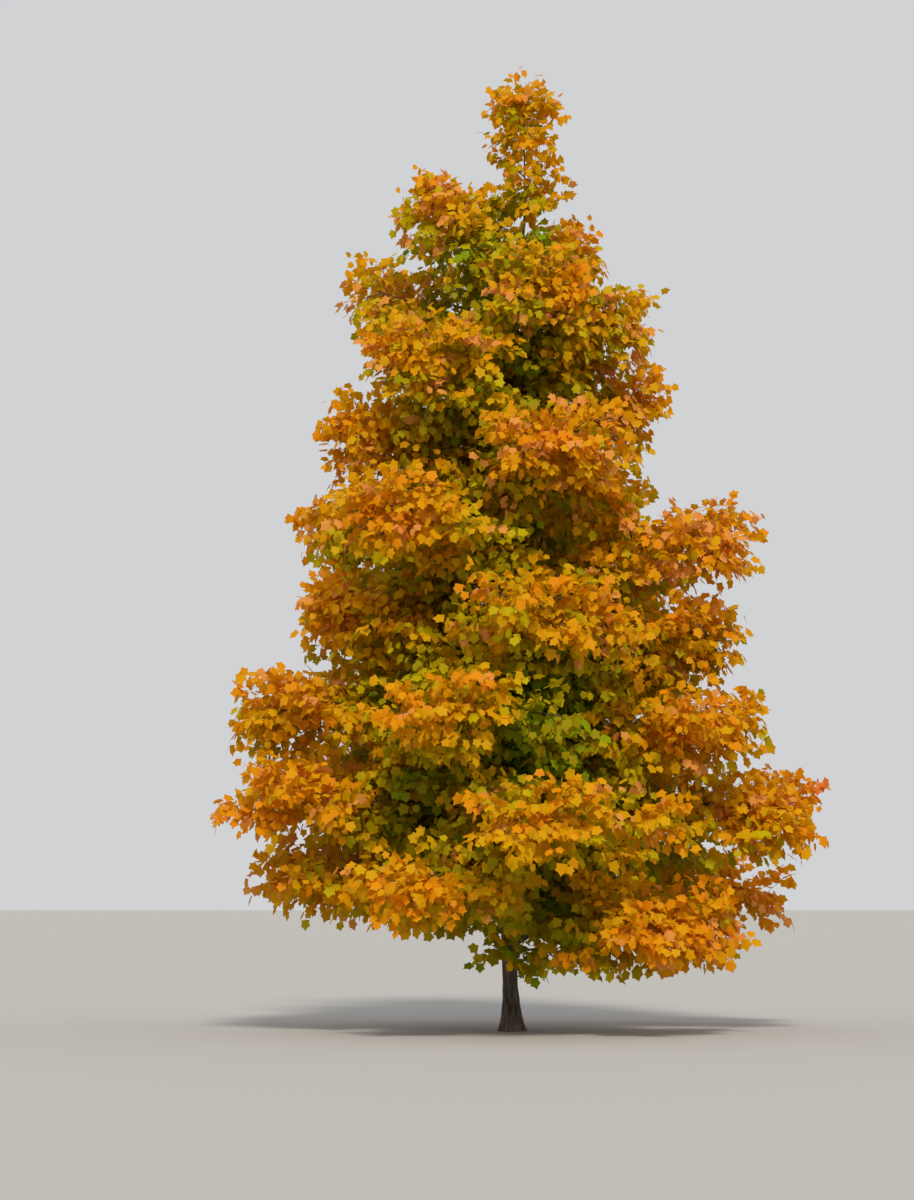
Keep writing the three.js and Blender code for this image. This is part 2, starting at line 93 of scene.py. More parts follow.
def chance(*keys: int) -> float:
    """A number from 0 to 1 that depends only on the whole numbers given.

    Args:
        keys: Whole numbers, none of them negative.

    Returns:
        The number, the same as the rule of the solids gives.
    """
    mixed = TREE_SEED
    for key in keys:
        mixed = ((mixed ^ (key + KEY_STEP)) * FIRST_STIR) & WORD
        mixed = ((mixed ^ (mixed >> 13)) * SECOND_STIR) & WORD
        mixed ^= mixed >> 16
    return mixed / (WORD + 1)


def jitter(size: float, *keys: int) -> float:
    """A number between -size and size that depends only on the keys."""
    return size * (2 * chance(*keys) - 1)


def held(number: float, low: float = 0.0, high: float = 1.0) -> float:
    """A number kept between two others."""
    return max(low, min(high, number))


def mix(start: float, end: float, share: float) -> float:
    """The number at a share of the way from start to end."""
    return start + (end - start) * share


def between(pair: Pair, share: float) -> float:
    """The number at a share of the way between the two of a pair."""
    return mix(pair[0], pair[1], share)


def outwards(azimuth: float) -> Vector:
    """The level direction at an azimuth in radians."""
    return Vector((math.cos(azimuth), math.sin(azimuth), 0.0))


def square_to(vector: Vector, direction: Vector) -> Vector:
    """The part of a vector square to a direction, at length 1."""
    return (vector - vector.dot(direction) * direction).normalized()


def sideways(level: Vector, hand: int, roll: float) -> Vector:
    """The direction to one side of a limb, raised from level by an angle in radians."""
    return hand * math.cos(roll) * level + math.sin(roll) * UP


def turned(along: Vector, aside: Vector, spread: float) -> Vector:
    """The direction at an angle in radians from a limb's own, towards one side of it."""
    return math.cos(spread) * along + math.sin(spread) * square_to(aside, along)


def linked(name: str, data: bpy.types.ID) -> bpy.types.Object:
    """Puts data into the scene.

    Args:
        name: The object's name.
        data: Its mesh, camera or light.

    Returns:
        The object.
    """
    thing = bpy.data.objects.new(name, data)
    bpy.context.scene.collection.objects.link(thing)
    return thing


def joined_mesh(
    name: str, vertices: np.ndarray, faces: Sequence[Sequence[int]]
) -> bpy.types.Object:
    """Makes one object of many small things.

    Args:
        name: The object's name.
        vertices: The places of its corners.
        faces: Its faces, as rows of corner numbers.

    Returns:
        The object, linked to the scene.
    """
    mesh = bpy.data.meshes.new(name)
    mesh.from_pydata(vertices, [], faces)
    return linked(name, mesh)


def from_shell(name: str, shell: bmesh.types.BMesh) -> bpy.types.Object:
    """Turns a built shell into an object, and frees it.

    Args:
        name: The object's name.
        shell: The shell.

    Returns:
        The object, linked to the scene.
    """
    mesh = bpy.data.meshes.new(name)
    shell.to_mesh(mesh)
    shell.free()
    return linked(name, mesh)


def smoothed(piece: bpy.types.Object) -> bpy.types.Object:
    """A piece with its faces shaded smoothly."""
    piece.data.polygons.foreach_set("use_smooth", [True] * len(piece.data.polygons))
    return piece


@dataclass(frozen=True)
class Bend:
    """A curve of three points, as a limb's middle line."""

    start: Vector
    knee: Vector
    end: Vector
    length_steps: ClassVar[int] = 16

    def point(self, share: float) -> Vector:
        """The point at a share of the curve."""
        rest = 1 - share
        return rest * rest * self.start + 2 * rest * share * self.knee + share * share * self.end

    def along(self, share: float) -> Vector:
        """The direction at a share of the curve."""
        first = (1 - share) * (self.knee - self.start)
        return (first + share * (self.end - self.knee)).normalized()

    def length(self) -> float:
        """The curve's length, by a few straight steps."""
        points = [self.point(step / self.length_steps) for step in range(self.length_steps + 1)]
        return sum((b - a).length for a, b in zip(points, points[1:]))


@dataclass(frozen=True)
class TrunkForm:
    """The trunk's height, taper, root flare, lean and bow."""

    height: float = 8.15
    radius: float = 0.074
    tip_radius: float = 0.011
    taper: float = 0.85
    flare_radius: float = 0.058
    flare_height: float = 0.17
    flare_lobes: int = 4
    flare_lobe_share: float = 0.28
    lean: float = 0.13
    bow: float = 0.11
    weave: float = 0.055

    def centre(self, height: float) -> Vector:
        """The middle of the trunk at a height.

        Args:
            height: The height.

        Returns:
            The point.
        """
        share = height / self.height
        leaning = self.lean * share * share - self.bow * math.sin(math.pi * share)
        return Vector((leaning, self.weave * math.sin(2 * math.pi * share), height))

    def radius_at(self, height: float, angle: float = 0.0) -> float:
        """The trunk's radius at a height, and round the lobes of its flare.

        Args:
            height: The height.
            angle: The azimuth in radians.

        Returns:
            The radius.
        """
        taper = max(0.0, 1 - height / self.height) ** self.taper
        lobes = 1 + self.flare_lobe_share * math.cos(self.flare_lobes * angle)
        flare = self.flare_radius * lobes * math.exp(-height / self.flare_height)
        return mix(self.tip_radius, self.radius, taper) + flare


@dataclass(frozen=True)
class Tier:
    """One tier of the crown, with a number in each list for each of its masses.

    The azimuth is its first mass's, in degrees. The arms are shares of the crown's outline that
    the masses reach to, and the shifts raise them.
    """

    azimuth: float
    arms: tuple[float, ...]
    shifts: tuple[float, ...]


@dataclass(frozen=True)
class Mass:
    """One mass of foliage: its place, its own curves and how thick they are."""

    key: int
    label: str
    level: int
    height: float
    reach: float
    out: Vector
    rise: float
    leaf_length: float
    site: Vector
    bough: Bend | None
    stem: Bend
    twig_places: tuple[float, ...]
    root_radius: float
    join_radius: float
    tip_radius: float

    @property
    def node(self) -> str:
        """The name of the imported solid."""
        return f"foliage_{self.label}"

    def shelf_at(self, radius: float) -> float:
        """The height of the middle of its shelf, at a distance from the trunk."""
        return self.height + self.rise * radius * radius / self.reach


Bead = tuple[Vector, float, Mass | None]


@dataclass(frozen=True)
class CrownForm:
    """The crown's outline, its tiers, and how each mass lies in them."""

    top: float = 9.7
    reach: float = 3.2
    widest: float = 2.15
    taper: float = 0.62
    skirt_tuck: float = 0.12
    left_bias: float = 0.3
    ground_clearance: float = 0.5
    underside_height: float = 0.95
    underside_radius: float = 0.9
    first_tier: float = 1.42
    tier_step: float = 0.95
    tier_step_loss: float = 0.015
    tiers: tuple[Tier, ...] = (
        Tier(178, (0.85, 1, 1.12, 1.15, 1), (0.2, 0.35, 0.15, -0.35, 0)),
        Tier(350, (1, 1, 1, 1, 1), (0.3, 0, 0, 0, 0)),
        Tier(190, (0.93, 1, 1, 1, 1), (-0.15, 0, 0, 0, 0)),
        Tier(344, (0.95, 1, 1, 0.77, 1), (0, 0, 0, 0, 0)),
        Tier(328, (1.08, 1, 0.96, 1), (0.06, 0, 0, 0)),
        Tier(10, (0.93, 1, 0.8, 1), (0, 0, 0, 0)),
        Tier(230, (1, 0.95, 1), (0, 0.6, 0)),
        Tier(152, (1.06, 0.9, 0.62), (-0.24, 0, 0)),
        Tier(195, (0.84,), (-0.06,)),
    )
    tier_keys: int = 100
    letters: str = "abcde"
    boughed_tiers: int = 4
    azimuth_jitter: float = 7
    height_jitter: float = 0.05
    reach_jitter: float = 0.06
    bough_share: float = 0.4
    limb_root_share: float = 0.48
    bough_taper: float = 0.7
    bough_slopes: Pair = (0.3, 1.3)
    tip_slope: float = 0.4
    knee_share: float = 0.55
    shelf_half_height: float = 0.62
    shelf_tip_thinning: float = 0.4
    shelf_rises: Pair = (-0.03, 0.22)
    shelf_crest: float = 0.34
    shelf_squash: float = 1.7
    site_share: float = 0.62
    tip_leaf_share: float = 0.8
    stem_tip_radii: Pair = (0.015, 0.010)
    leaf_lengths: Pair = (0.62, 0.4)
    leaf_share: float = 0.44
    top_reach: float = 0.5
    top_narrowing: float = 0.25
    top_site_share: float = 0.45
    top_leaf_length: float = 0.36
    twig_places: tuple[float, ...] = (0.2, 0.62)
    top_twig_places: tuple[float, ...] = (0.06, 0.32, 0.58, 0.84)

    def reach_at(self, height: float, azimuth: float) -> float:
        """How far the crown reaches from the trunk.

        Args:
            height: The height.
            azimuth: The azimuth in radians.

        Returns:
            The distance.
        """
        if height > self.widest:
            share = ((self.top - height) / (self.top - self.widest)) ** self.taper
        else:
            below = (self.widest - height) / (self.widest - self.first_tier)
            share = 1 - self.skirt_tuck * below * below
        bias = self.left_bias * (height / self.top) ** 2 * math.cos(azimuth)
        return self.reach * share * (1 - bias)

    def underside_at(self, radius: float) -> float:
        """The height of the crown's underside, highest at the trunk."""
        share = min(1.0, radius / self.underside_radius)
        return mix(self.underside_height, self.ground_clearance, share)

    def shelf_depth_at(self, share: float) -> float:
        """A shelf's half height at a share of its mass's reach, least at the tip."""
        return self.shelf_half_height * (1 - self.shelf_tip_thinning * share**2)

    def tier_height(self, level: int, azimuth: float) -> float:
        """The height of the spiral of tiers.

        Args:
            level: The tier, from 0.
            azimuth: The azimuth in radians.

        Returns:
            The height.
        """
        turns = azimuth / (2 * math.pi)
        place = level + 0.5 - (turns - math.floor(turns))
        return self.first_tier + (self.tier_step - self.tier_step_loss * place) * place


@dataclass
class Crown:
    """Every mass of the crown, with the spaces they keep and the twigs of the solids' rule."""

    trunk: TrunkForm
    form: CrownForm
    cell_margin: float = 0.016
    limb_clearance: float = 0.014
    joint_gap: float = 0.0003
    bead_step: float = 0.06
    twig_keys: int = 10
    twig_shares: Pair = (0.42, 0.27)
    twig_spreads: Pair = (62, 42)
    twig_rolls: Pair = (-6, 34)
    twig_lengths: tuple[float, ...] = (1, 0.8, 0.62, 0.46)
    twig_spread_jitter: float = 9
    twig_roll_jitter: float = 14
    twig_length_jitter: float = 0.14
    core_shares: Pair = (0.56, 0.74)
    core_heights: Pair = (3.6, 5.6)
    core_foot: float = 1.08
    core_top: float = 8.5

    def __post_init__(self) -> None:
        """Lays out every mass, and the beads along every limb."""
        self.masses: list[Mass] = [*self._tier_masses(), self._top_mass()]
        squash = self.form.shelf_squash
        self._sites = np.array([(m.site.x, m.site.y, m.site.z * squash) for m in self.masses])
        self._beads = self._limb_beads()

    def _tier_masses(self) -> Iterator[Mass]:
        """The masses of every tier, from the lowest up.

        Returns:
            The masses, one after the other.
        """
        form = self.form
        for level, tier in enumerate(form.tiers):
            for turn, (arm, shift) in enumerate(zip(tier.arms, tier.shifts)):
                key = form.tier_keys * (level + 1) + turn
                label = f"{level + 1}{form.letters[turn]}"
                degrees = tier.azimuth + 360 * turn / len(tier.arms)
                azimuth = math.radians(degrees + jitter(form.azimuth_jitter, key, 1))
                height = form.tier_height(level, azimuth)
                height += shift + jitter(form.height_jitter, key, 2)
                factor = arm * (1 + jitter(form.reach_jitter, key, 3))
                reach = factor * form.reach_at(height, azimuth)
                yield self._lay_out(key, label, level, azimuth, height, reach)

    def _lay_out(
        self, key: int, label: str, level: int, azimuth: float, height: float, reach: float
    ) -> Mass:
        """One mass's curves: the bough from inside the trunk, and the stem on from its end.

        Args:
            key: The mass's seed.
            label: Its tier and letter.
            level: Its tier, from 0.
            azimuth: Its azimuth in radians.
            height: Its height on the trunk.
            reach: How far it reaches from the trunk.

        Returns:
            The mass.
        """
        form = self.form
        share = level / len(form.tiers)
        slope = between(form.bough_slopes, share)
        rise = between(form.shelf_rises, share)
        leaf_length = min(between(form.leaf_lengths, share), form.leaf_share * reach)
        out = outwards(azimuth)
        axis = self.trunk.centre(height)
        bough_reach = form.bough_share * reach
        root = self.trunk.centre(height - slope * bough_reach)
        join = axis + bough_reach * out
        heading = (out + form.tip_slope * slope * UP).normalized()
        knee = join - form.knee_share * bough_reach * heading
        boughed = level < form.boughed_tiers
        start = join + self.joint_gap * heading if boughed else join
        crest = start + form.shelf_crest * reach * heading
        tip = axis + (reach - form.tip_leaf_share * leaf_length) * out + rise * reach * UP
        site_rise = form.site_share**2 * rise * reach
        tip_radius = between(form.stem_tip_radii, share)
        root_radius = max(form.limb_root_share * self.trunk.radius_at(root.z), tip_radius)
        return Mass(
            key=key,
            label=label,
            level=level,
            height=height,
            reach=reach,
            out=out,
            rise=rise,
            leaf_length=leaf_length,
            site=axis + form.site_share * reach * out + site_rise * UP,
            bough=Bend(root, knee, join),
            stem=Bend(start, crest, tip),
            twig_places=form.twig_places,
            root_radius=root_radius,
            join_radius=form.bough_taper * root_radius,
            tip_radius=tip_radius,
        )

    def _top_mass(self) -> Mass:
        """The spray that ends the tree, straight on from the trunk's tip.

        Returns:
            The mass.
        """
        form = self.form
        level = len(form.tiers)
        start = self.trunk.centre(self.trunk.height) + self.joint_gap * UP
        tip = Vector((start.x, start.y, form.top - form.top_leaf_length))
        return Mass(
            key=form.tier_keys * (level + 1),
            label="top",
            level=level,
            height=start.z,
            reach=form.top_reach,
            out=outwards(math.pi),
            rise=0.0,
            leaf_length=form.top_leaf_length,
            site=start.lerp(tip, form.top_site_share),
            bough=None,
            stem=Bend(start, start.lerp(tip, 0.5), tip),
            twig_places=form.top_twig_places,
            root_radius=self.trunk.tip_radius,
            join_radius=self.trunk.tip_radius,
            tip_radius=form.stem_tip_radii[1],
        )

    def off_axis(self, point: Vector) -> Pair:
        """How far a point lies from the trunk's middle line, along X and along Y."""
        axis = self.trunk.centre(min(point.z, self.trunk.height))
        return point.x - axis.x, point.y - axis.y

    def in_space(self, point: Vector, mass: Mass, margin: float) -> bool:
        """Whether a point keeps inside a mass's own space.

        Args:
            point: The point.
            mass: The mass.
            margin: How far inside the planes to the other masses.

        Returns:
            True where it does.
        """
        form = self.form
        radius = math.hypot(*self.off_axis(point))
        if point.z < form.underside_at(radius) or point.z > form.top:
            return False
        if radius > self.reach_of(mass, point.z):
            return False
        depth = form.shelf_depth_at(radius / mass.reach)
        if mass.bough and abs(point.z - mass.shelf_at(radius)) > depth:
            return False
        own = self.masses.index(mass)
        place = np.array((point.x, point.y, point.z * form.shelf_squash))
        spans = np.linalg.norm(self._sites - self._sites[own], axis=1)
        far = np.sum((self._sites - place) ** 2, axis=1)
        spans[own] = 1.0
        margins = (far - far[own]) / (2 * spans * form.shelf_squash)
        margins[own] = np.inf
        return bool(margins.min() > margin)

    def in_core(self, point: Vector) -> bool:
        """Whether a point is in the inner crown, where the masses' spaces run together.

        Args:
            point: The point.

        Returns:
            True where it is.
        """
        if not self.core_foot < point.z < self.core_top:
            return False
        across = self.off_axis(point)
        azimuth = math.atan2(across[1], across[0])
        low, high = self.core_heights
        share = between(self.core_shares, held((point.z - low) / (high - low)))
        return math.hypot(*across) < share * self.form.reach_at(point.z, azimuth)

    def reach_of(self, mass: Mass, height: float) -> float:
        """How far a mass reaches: the top one narrows from its foot to its tip.

        Args:
            mass: The mass.
            height: The height.

        Returns:
            The distance from the trunk.
        """
        if mass.bough:
            return mass.reach
        share = max(0.0, (height - mass.height) / (self.form.top - mass.height))
        return mass.reach * (1 - self.form.top_narrowing * share)

    def _bead_shares(self, length: float) -> list[float]:
        """The shares of a limb of a length where its beads lie."""
        count = math.ceil(length / self.bead_step)
        return [step / count for step in range(count + 1)]

    def _limb_beads(self) -> list[Bead]:
        """Every limb as beads along it, to keep twigs clear of them.

        Returns:
            Each bead's place, its radius and the mass whose limb it is.
        """
        trunk = self.trunk
        heights = [share * trunk.height for share in self._bead_shares(trunk.height)]
        beads: list[Bead] = [(trunk.centre(z), trunk.radius_at(z), None) for z in heights]
        for mass in self.masses:
            bough, stem, ends = mass.bough, mass.stem, (mass.root_radius, mass.join_radius)
            if bough:
                shares = self._bead_shares(bough.length())
                beads += [(bough.point(share), between(ends, share), mass) for share in shares]
            shares = self._bead_shares(stem.length())
            beads += [(stem.point(share), mass.join_radius, mass) for share in shares]
        return beads

    def is_clear(self, start: Vector, end: Vector, mass: Mass) -> bool:
        """Whether a straight twig is clear of every other mass's limbs.

        Args:
            start: The twig's start.
            end: Its end.
            mass: The mass that it grows on.

        Returns:
            True where it is.
        """
        line = end - start
        square = line.length_squared
        for place, radius, owner in self._beads:
            if owner is mass:
                continue
            share = held((place - start).dot(line) / square)
            gap = (start + share * line - place).length - radius - mass.tip_radius
            if gap <= self.limb_clearance:
                return False
        return True

    def twigs(
        self,
        mass: Mass,
        line: Bend,
        places: Sequence[float],
        first: int = 0,
        tilt: float = 0.0,
        inner: bool = False,
    ) -> list[tuple[Vector, Vector]]:
        """The twigs of a mass in opposite pairs along its stem or bough, by the solids' rule.

        Args:
            mass: The mass.
            line: The stem or bough.
            places: The shares of it where pairs spring.
            first: The number of the first pair, which its seed takes.
            tilt: Degrees that these pairs are raised on one side and lowered on the other.
            inner: Whether they may grow into the inner crown too.

        Returns:
            The start and end of each twig.
        """
        found = []
        for pair, share in enumerate(places, first):
            start, along = line.point(share), line.along(share)
            raised = tilt * (1 - 2 * (pair % 2))
            level = mass.out.cross(UP)
            if not mass.bough:
                level.rotate(Matrix.Rotation(pair * 0.5 * math.pi, 3, "Z"))
            for hand in (-1, 1):
                key = (mass.key, self.twig_keys + pair, 2 + hand)
                spread = between(self.twig_spreads, share)
                spread += jitter(self.twig_spread_jitter, *key, 1)
                turn = self.twig_rolls[(pair + (hand > 0)) % 2] + hand * raised
                roll = math.radians(turn + jitter(self.twig_roll_jitter, *key, 2))
                heading = turned(along, sideways(level, hand, roll), math.radians(spread))
                longer = 1 + jitter(self.twig_length_jitter, *key, 3)
                size = between(self.twig_shares, share) * longer * mass.reach
                for part in self.twig_lengths:
                    end = start + size * part * heading
                    tip = end + 0.5 * mass.leaf_length * heading
                    own = self.in_space(tip, mass, self.cell_margin)
                    if (own or (inner and self.in_core(tip))) and self.is_clear(start, end, mass):
                        found.append((start, end))
                        break
        return found


@dataclass(frozen=True)
class Limb:
    """A stem, twig or branchlet: its middle line, the radius at both ends, and its mesh."""

    line: Bend
    radii: Pair
    steps: int
    sides: int


@dataclass(frozen=True)
class Spray:
    """A shoot that leaves stand on: where it springs, which way it runs, and its upper side."""

    root: Vector
    along: Vector
    face: Vector
    length: float
    key: int


@dataclass
class Growth:
    """What grew on one mass: limbs from its stem to its shoots, and sprays of leaves."""

    mass: Mass
    limbs: list[Limb] = field(default_factory=list)
    sprays: list[Spray] = field(default_factory=list)


@dataclass(frozen=True)
class FineGrowth:
    """Carries the masses on from the solids' twigs to branchlets, shoots and sprays."""

    crown: Crown
    extra_places: tuple[float, ...] = (0.04, 0.36, 0.8)
    extra_tilt: float = 44
    bough_places: tuple[float, ...] = (0.28, 0.56, 0.84)
    bough_tilt: float = 34
    bough_bare: float = 0.14
    bough_mesh: tuple[int, int] = (5, 6)
    stem_mesh: tuple[int, int] = (10, 6)
    stem_end: float = 0.4
    twig_mesh: tuple[int, int] = (4, 4)
    twig_start: float = 0.6
    twig_end_radius: float = 0.003
    twig_sag: float = 0.05
    branchlet_mesh: tuple[int, int] = (2, 3)
    branchlet_radii: Pair = (0.0032, 0.0016)
    branchlet_keys: tuple[int, int] = (60, 10)
    branchlet_step: float = 0.14
    branchlet_first: float = 0.1
    branchlet_length: float = 0.46
    branchlet_length_jitter: float = 0.25
    branchlet_taper: float = 0.35
    branchlet_spread: float = 54
    branchlet_spread_jitter: float = 12
    branchlet_rolls: Pair = (6, 58)
    branchlet_roll_jitter: float = 16
    branchlet_droop: float = 0.12
    branchlet_tries: tuple[float, ...] = (1, 0.7, 0.45)
    twig_spray_key: int = 9
    end_spray_key: int = 19
    side_spray_keys: int = 20
    spray_places: tuple[float, ...] = (0.22, 0.48, 0.74)
    spray_length: float = 0.125
    spray_length_jitter: float = 0.3
    spray_spread: float = 52
    spray_lift: float = 0.6
    spray_lean: float = 0.5
    spray_wander: float = 0.35
    space_margin: float = -0.08
    bare_radius: float = 0.55
    bare_height: float = 1.12
    clump_scale: float = 2.9
    clump_gaps: Pair = (-0.25, 0.1)
    clump_gap_power: int = 3
    clump_top: float = 9.1

    def grow(self, mass: Mass) -> Growth:
        """Grows one mass.

        Args:
            mass: The mass.

        Returns:
            Its limbs and sprays.
        """
        growth = Growth(mass)
        crown, stem, bough, count = self.crown, mass.stem, mass.bough, len(mass.twig_places)
        pairs = crown.twigs(mass, stem, mass.twig_places)
        pairs += crown.twigs(mass, stem, self.extra_places, count, self.extra_tilt)
        if bough:
            count += len(self.extra_places)
            pairs += crown.twigs(mass, bough, self.bough_places, count, self.bough_tilt, inner=True)
        radii = (mass.join_radius, self.stem_end * mass.tip_radius)
        growth.limbs.append(Limb(stem, radii, *self.stem_mesh))
        if bough and mass.level >= crown.form.boughed_tiers:
            growth.limbs.append(Limb(bough, (mass.root_radius, mass.join_radius), *self.bough_mesh))
        twigs = [self._sagging(start, end) for start, end in pairs]
        radii = (self.twig_start * mass.tip_radius, self.twig_end_radius)
        growth.limbs += [Limb(twig, radii, *self.twig_mesh) for twig in twigs]
        for number, line in enumerate([stem, *twigs]):
            self._grow_branchlets(growth, line, number, self.branchlet_first)
        if bough:
            self._grow_branchlets(growth, bough, len(twigs) + 1, self.bough_bare * bough.length())
        return growth

    def _sagging(self, start: Vector, end: Vector) -> Bend:
        """A twig between two points that arches a little above the straight line."""
        middle = start.lerp(end, 0.5) + self.twig_sag * (end - start).length * UP
        return Bend(start, middle, end)

    def _grow_branchlets(self, growth: Growth, line: Bend, number: int, first: float) -> None:
        """Grows pairs of branchlets along one stem or twig, and the sprays on them.

        Args:
            growth: What the mass has so far, which is added to.
            line: The stem or twig.
            number: Its number in the mass, which the seeds take.
            first: How far along it the first pair springs.
        """
        mass = growth.mass
        limb_key = (mass.key, self.branchlet_keys[0] + number)
        length = line.length()
        count = max(1, int((length - first) / self.branchlet_step))
        for step in range(count + 1):
            share = min(1.0, (first + step * self.branchlet_step) / length)
            start, along = line.point(share), line.along(share)
            level = self._level_beside(along, mass)
            for hand in (-1, 1):
                key = (*limb_key, self.branchlet_keys[1] + step, 2 + hand)
                spread = self.branchlet_spread + jitter(self.branchlet_spread_jitter, *key, 1)
                turn = self.branchlet_rolls[step % 2] + jitter(self.branchlet_roll_jitter, *key, 2)
                aside = sideways(level, hand, hand * math.radians(turn))
                heading = turned(along, aside, math.radians(spread))
                size = self.branchlet_length * (1 - self.branchlet_taper * share)
                size *= 1 + jitter(self.branchlet_length_jitter, *key, 3)
                for part in self.branchlet_tries:
                    end = start + size * part * heading
                    end.z -= self.branchlet_droop * size * part
                    if self._fits(end, mass) and self._in_clump(end):
                        self._grow_sprays(growth, start, end, key)
                        break
        self._add_spray(growth, line.point(1.0), line.along(1.0), (*limb_key, self.twig_spray_key))

    def _in_clump(self, point: Vector) -> bool:
        """Whether a point is in a clump of leaves, and not in one of the gaps between them."""
        gap = between(self.clump_gaps, (point.z / self.crown.form.top) ** self.clump_gap_power)
        return point.z > self.clump_top or noise.noise(point * self.clump_scale) > gap

    def _fits(self, point: Vector, mass: Mass) -> bool:
        """Whether a mass may grow to a point: not on the bare foot of the trunk.

        Args:
            point: The point.
            mass: The mass.

        Returns:
            True where it may.
        """
        crown = self.crown
        if point.z < self.bare_height and math.hypot(*crown.off_axis(point)) < self.bare_radius:
            return False
        return crown.in_space(point, mass, self.space_margin) or crown.in_core(point)

    def _level_beside(self, along: Vector, mass: Mass) -> Vector:
        """The level direction to one side of a limb."""
        return mass.out.cross(UP) if abs(along.z) > STEEP else along.cross(UP).normalized()

    def _grow_sprays(
        self, growth: Growth, start: Vector, end: Vector, key: tuple[int, ...]
    ) -> None:
        """Adds one branchlet, with sprays along both its sides and at its end.

        Args:
            growth: What the mass has so far, which is added to.
            start: The branchlet's start.
            end: Its end.
            key: Its seed.
        """
        line = self._sagging(start, end)
        growth.limbs.append(Limb(line, self.branchlet_radii, *self.branchlet_mesh))
        spread = math.radians(self.spray_spread)
        for number, share in enumerate(self.spray_places):
            root, along = line.point(share), line.along(share)
            level = self._level_beside(along, growth.mass)
            for hand in (-1, 1):
                seed = (*key, self.side_spray_keys + number, 2 + hand)
                aside = hand * level + jitter(self.spray_lift, *seed, 1) * UP
                self._add_spray(growth, root, turned(along, aside, spread), seed)
        self._add_spray(growth, end, line.along(1.0), (*key, self.end_spray_key))

    def _add_spray(
        self, growth: Growth, root: Vector, along: Vector, key: tuple[int, ...]
    ) -> None:
        """Adds one spray where its end keeps to the mass's space.

        Args:
            growth: What the mass has so far, which is added to.
            root: Where the spray springs.
            along: Its direction.
            key: Its seed.
        """
        length = self.spray_length * (1 + jitter(self.spray_length_jitter, *key, 5))
        if not self._fits(root + length * along, growth.mass):
            return
        lean = UP + self.spray_lean * growth.mass.out
        wander = [jitter(self.spray_wander, *key, draw) for draw in (6, 7)]
        face = square_to(lean + Vector((*wander, 0.0)), along)
        seed = int(chance(*key, 8) * WORD)
        growth.sprays.append(Spray(root, along, face, length, seed))


def linear_part(part: float) -> float:
    """One part of an sRGB colour as a linear number, by the standard's own formula."""
    return part / 12.92 if part < 0.04045 else ((part + 0.055) / 1.055) ** 2.4


class LeafTint(Enum):
    """The autumn tints of the leaves, as plain colours in sRGB."""

    GREEN = (146, 164, 3)
    OLIVE = (164, 150, 2)
    LEMON = (198, 178, 2)
    GOLD = (218, 168, 2)
    AMBER = (226, 162, 3)
    ORANGE = (230, 150, 7)
    APRICOT = (232, 158, 72)
    CORAL = (228, 122, 42)

    @property
    def linear(self) -> Colour:
        """The tint as a linear colour."""
        return (*[linear_part(part / 255) for part in self.value], 1.0)


@dataclass(frozen=True)
class TintZone:
    """A round part of the crown where leaves turn warmer, or greener if its warmth is negative."""

    middle: Place
    radius: float
    warmth: float

    def warmth_at(self, point: Vector) -> float:
        """The warmth that it gives at a point, none beyond its radius."""
        return self.warmth * max(0.0, self.radius - (point - Vector(self.middle)).length)


@dataclass(frozen=True)
class TintRule:
    """Deals out the tints by spray: warmer outside and above, greener and darker within and below,
    partly as painted shade.
    """

    crown: Crown
    steps: tuple[float, ...] = (0.0, 0.17, 0.34, 0.5, 0.68, 0.86, 0.98)
    # Inner sprays get greener, darker tints: partly the inner leaves' own later turning, partly
    # painted shade in the crown's recesses.
    low_warmths: Pair = (-0.18, 0.72)
    high_warmths: Pair = (0.11, 0.66)
    golden_heights: Pair = (3.6, 6.0)
    # Sprays above a shelf's middle turn warmer and those below it greener and darker: partly the
    # sunnier tops' own warmer turning, partly painted shade under each shelf.
    above_warmth: float = 0.15
    patch_warmth: float = 0.26
    patch_scale: float = 0.9
    patch_shift: Place = (3.1, 7.7, 1.3)
    speck_warmth: float = 0.36
    speck_scale: float = 4.6
    luck_warmth: float = 0.34
    red_patch: ClassVar[Place] = (1.5, -1.45, 5.05)
    zones: tuple[TintZone, ...] = (
        TintZone(red_patch, 1.1, 0.18),
        TintZone((-0.05, -1.8, 2.95), 1.5, -0.26),
        TintZone((-0.4, -0.4, 7.3), 2.0, -0.12),
    )
    tip_height: float = 8.2
    tip_warmth: float = 0.12
    skirt_height: float = 1.7
    skirt_warmth: float = 0.22
    apricot_outer: float = 0.55
    apricot_lucks: Pair = (0.46, 0.24)
    apricot_power: int = 3
    apricot_zone: TintZone = TintZone(red_patch, 1.0, 0.3)

    def tint_of(self, mass: Mass, spray: Spray) -> int:
        """The number of a spray's tint.

        Args:
            mass: The mass that it grows on.
            spray: The spray.

        Returns:
            The tint's place in the list of finishes.
        """
        root, form = spray.root, self.crown.form
        radius = math.hypot(*self.crown.off_axis(root))
        outer = min(1.0, radius / self.crown.reach_of(mass, root.z))
        luck = spray.key / WORD - 0.5
        rare = between(self.apricot_lucks, (root.z / form.top) ** self.apricot_power)
        if outer > self.apricot_outer and luck > rare - self.apricot_zone.warmth_at(root):
            return list(LeafTint).index(LeafTint.APRICOT)
        low, high = self.golden_heights
        golden = held((root.z - low) / (high - low))
        # The greener, darker tints of the inner sprays are partly painted shade.
        warmth = mix(between(self.low_warmths, outer), between(self.high_warmths, outer), golden)
        # Warmer above the shelf's middle, greener and darker below it: partly painted shade under
        # each shelf.
        if mass.bough:
            above = (root.z - mass.shelf_at(radius)) / form.shelf_half_height
            warmth += self.above_warmth * held(above, -1.0)
        patch = noise.noise(root * self.patch_scale + Vector(self.patch_shift))
        speck = noise.noise(root * self.speck_scale)
        warmth += self.patch_warmth * patch + self.speck_warmth * speck + self.luck_warmth * luck
        warmth += sum(zone.warmth_at(root) for zone in self.zones)
        warmth += self.tip_warmth * max(0.0, root.z - self.tip_height)
        warmth += self.skirt_warmth * max(0.0, self.skirt_height - root.z)
        return sum(warmth > step for step in self.steps)


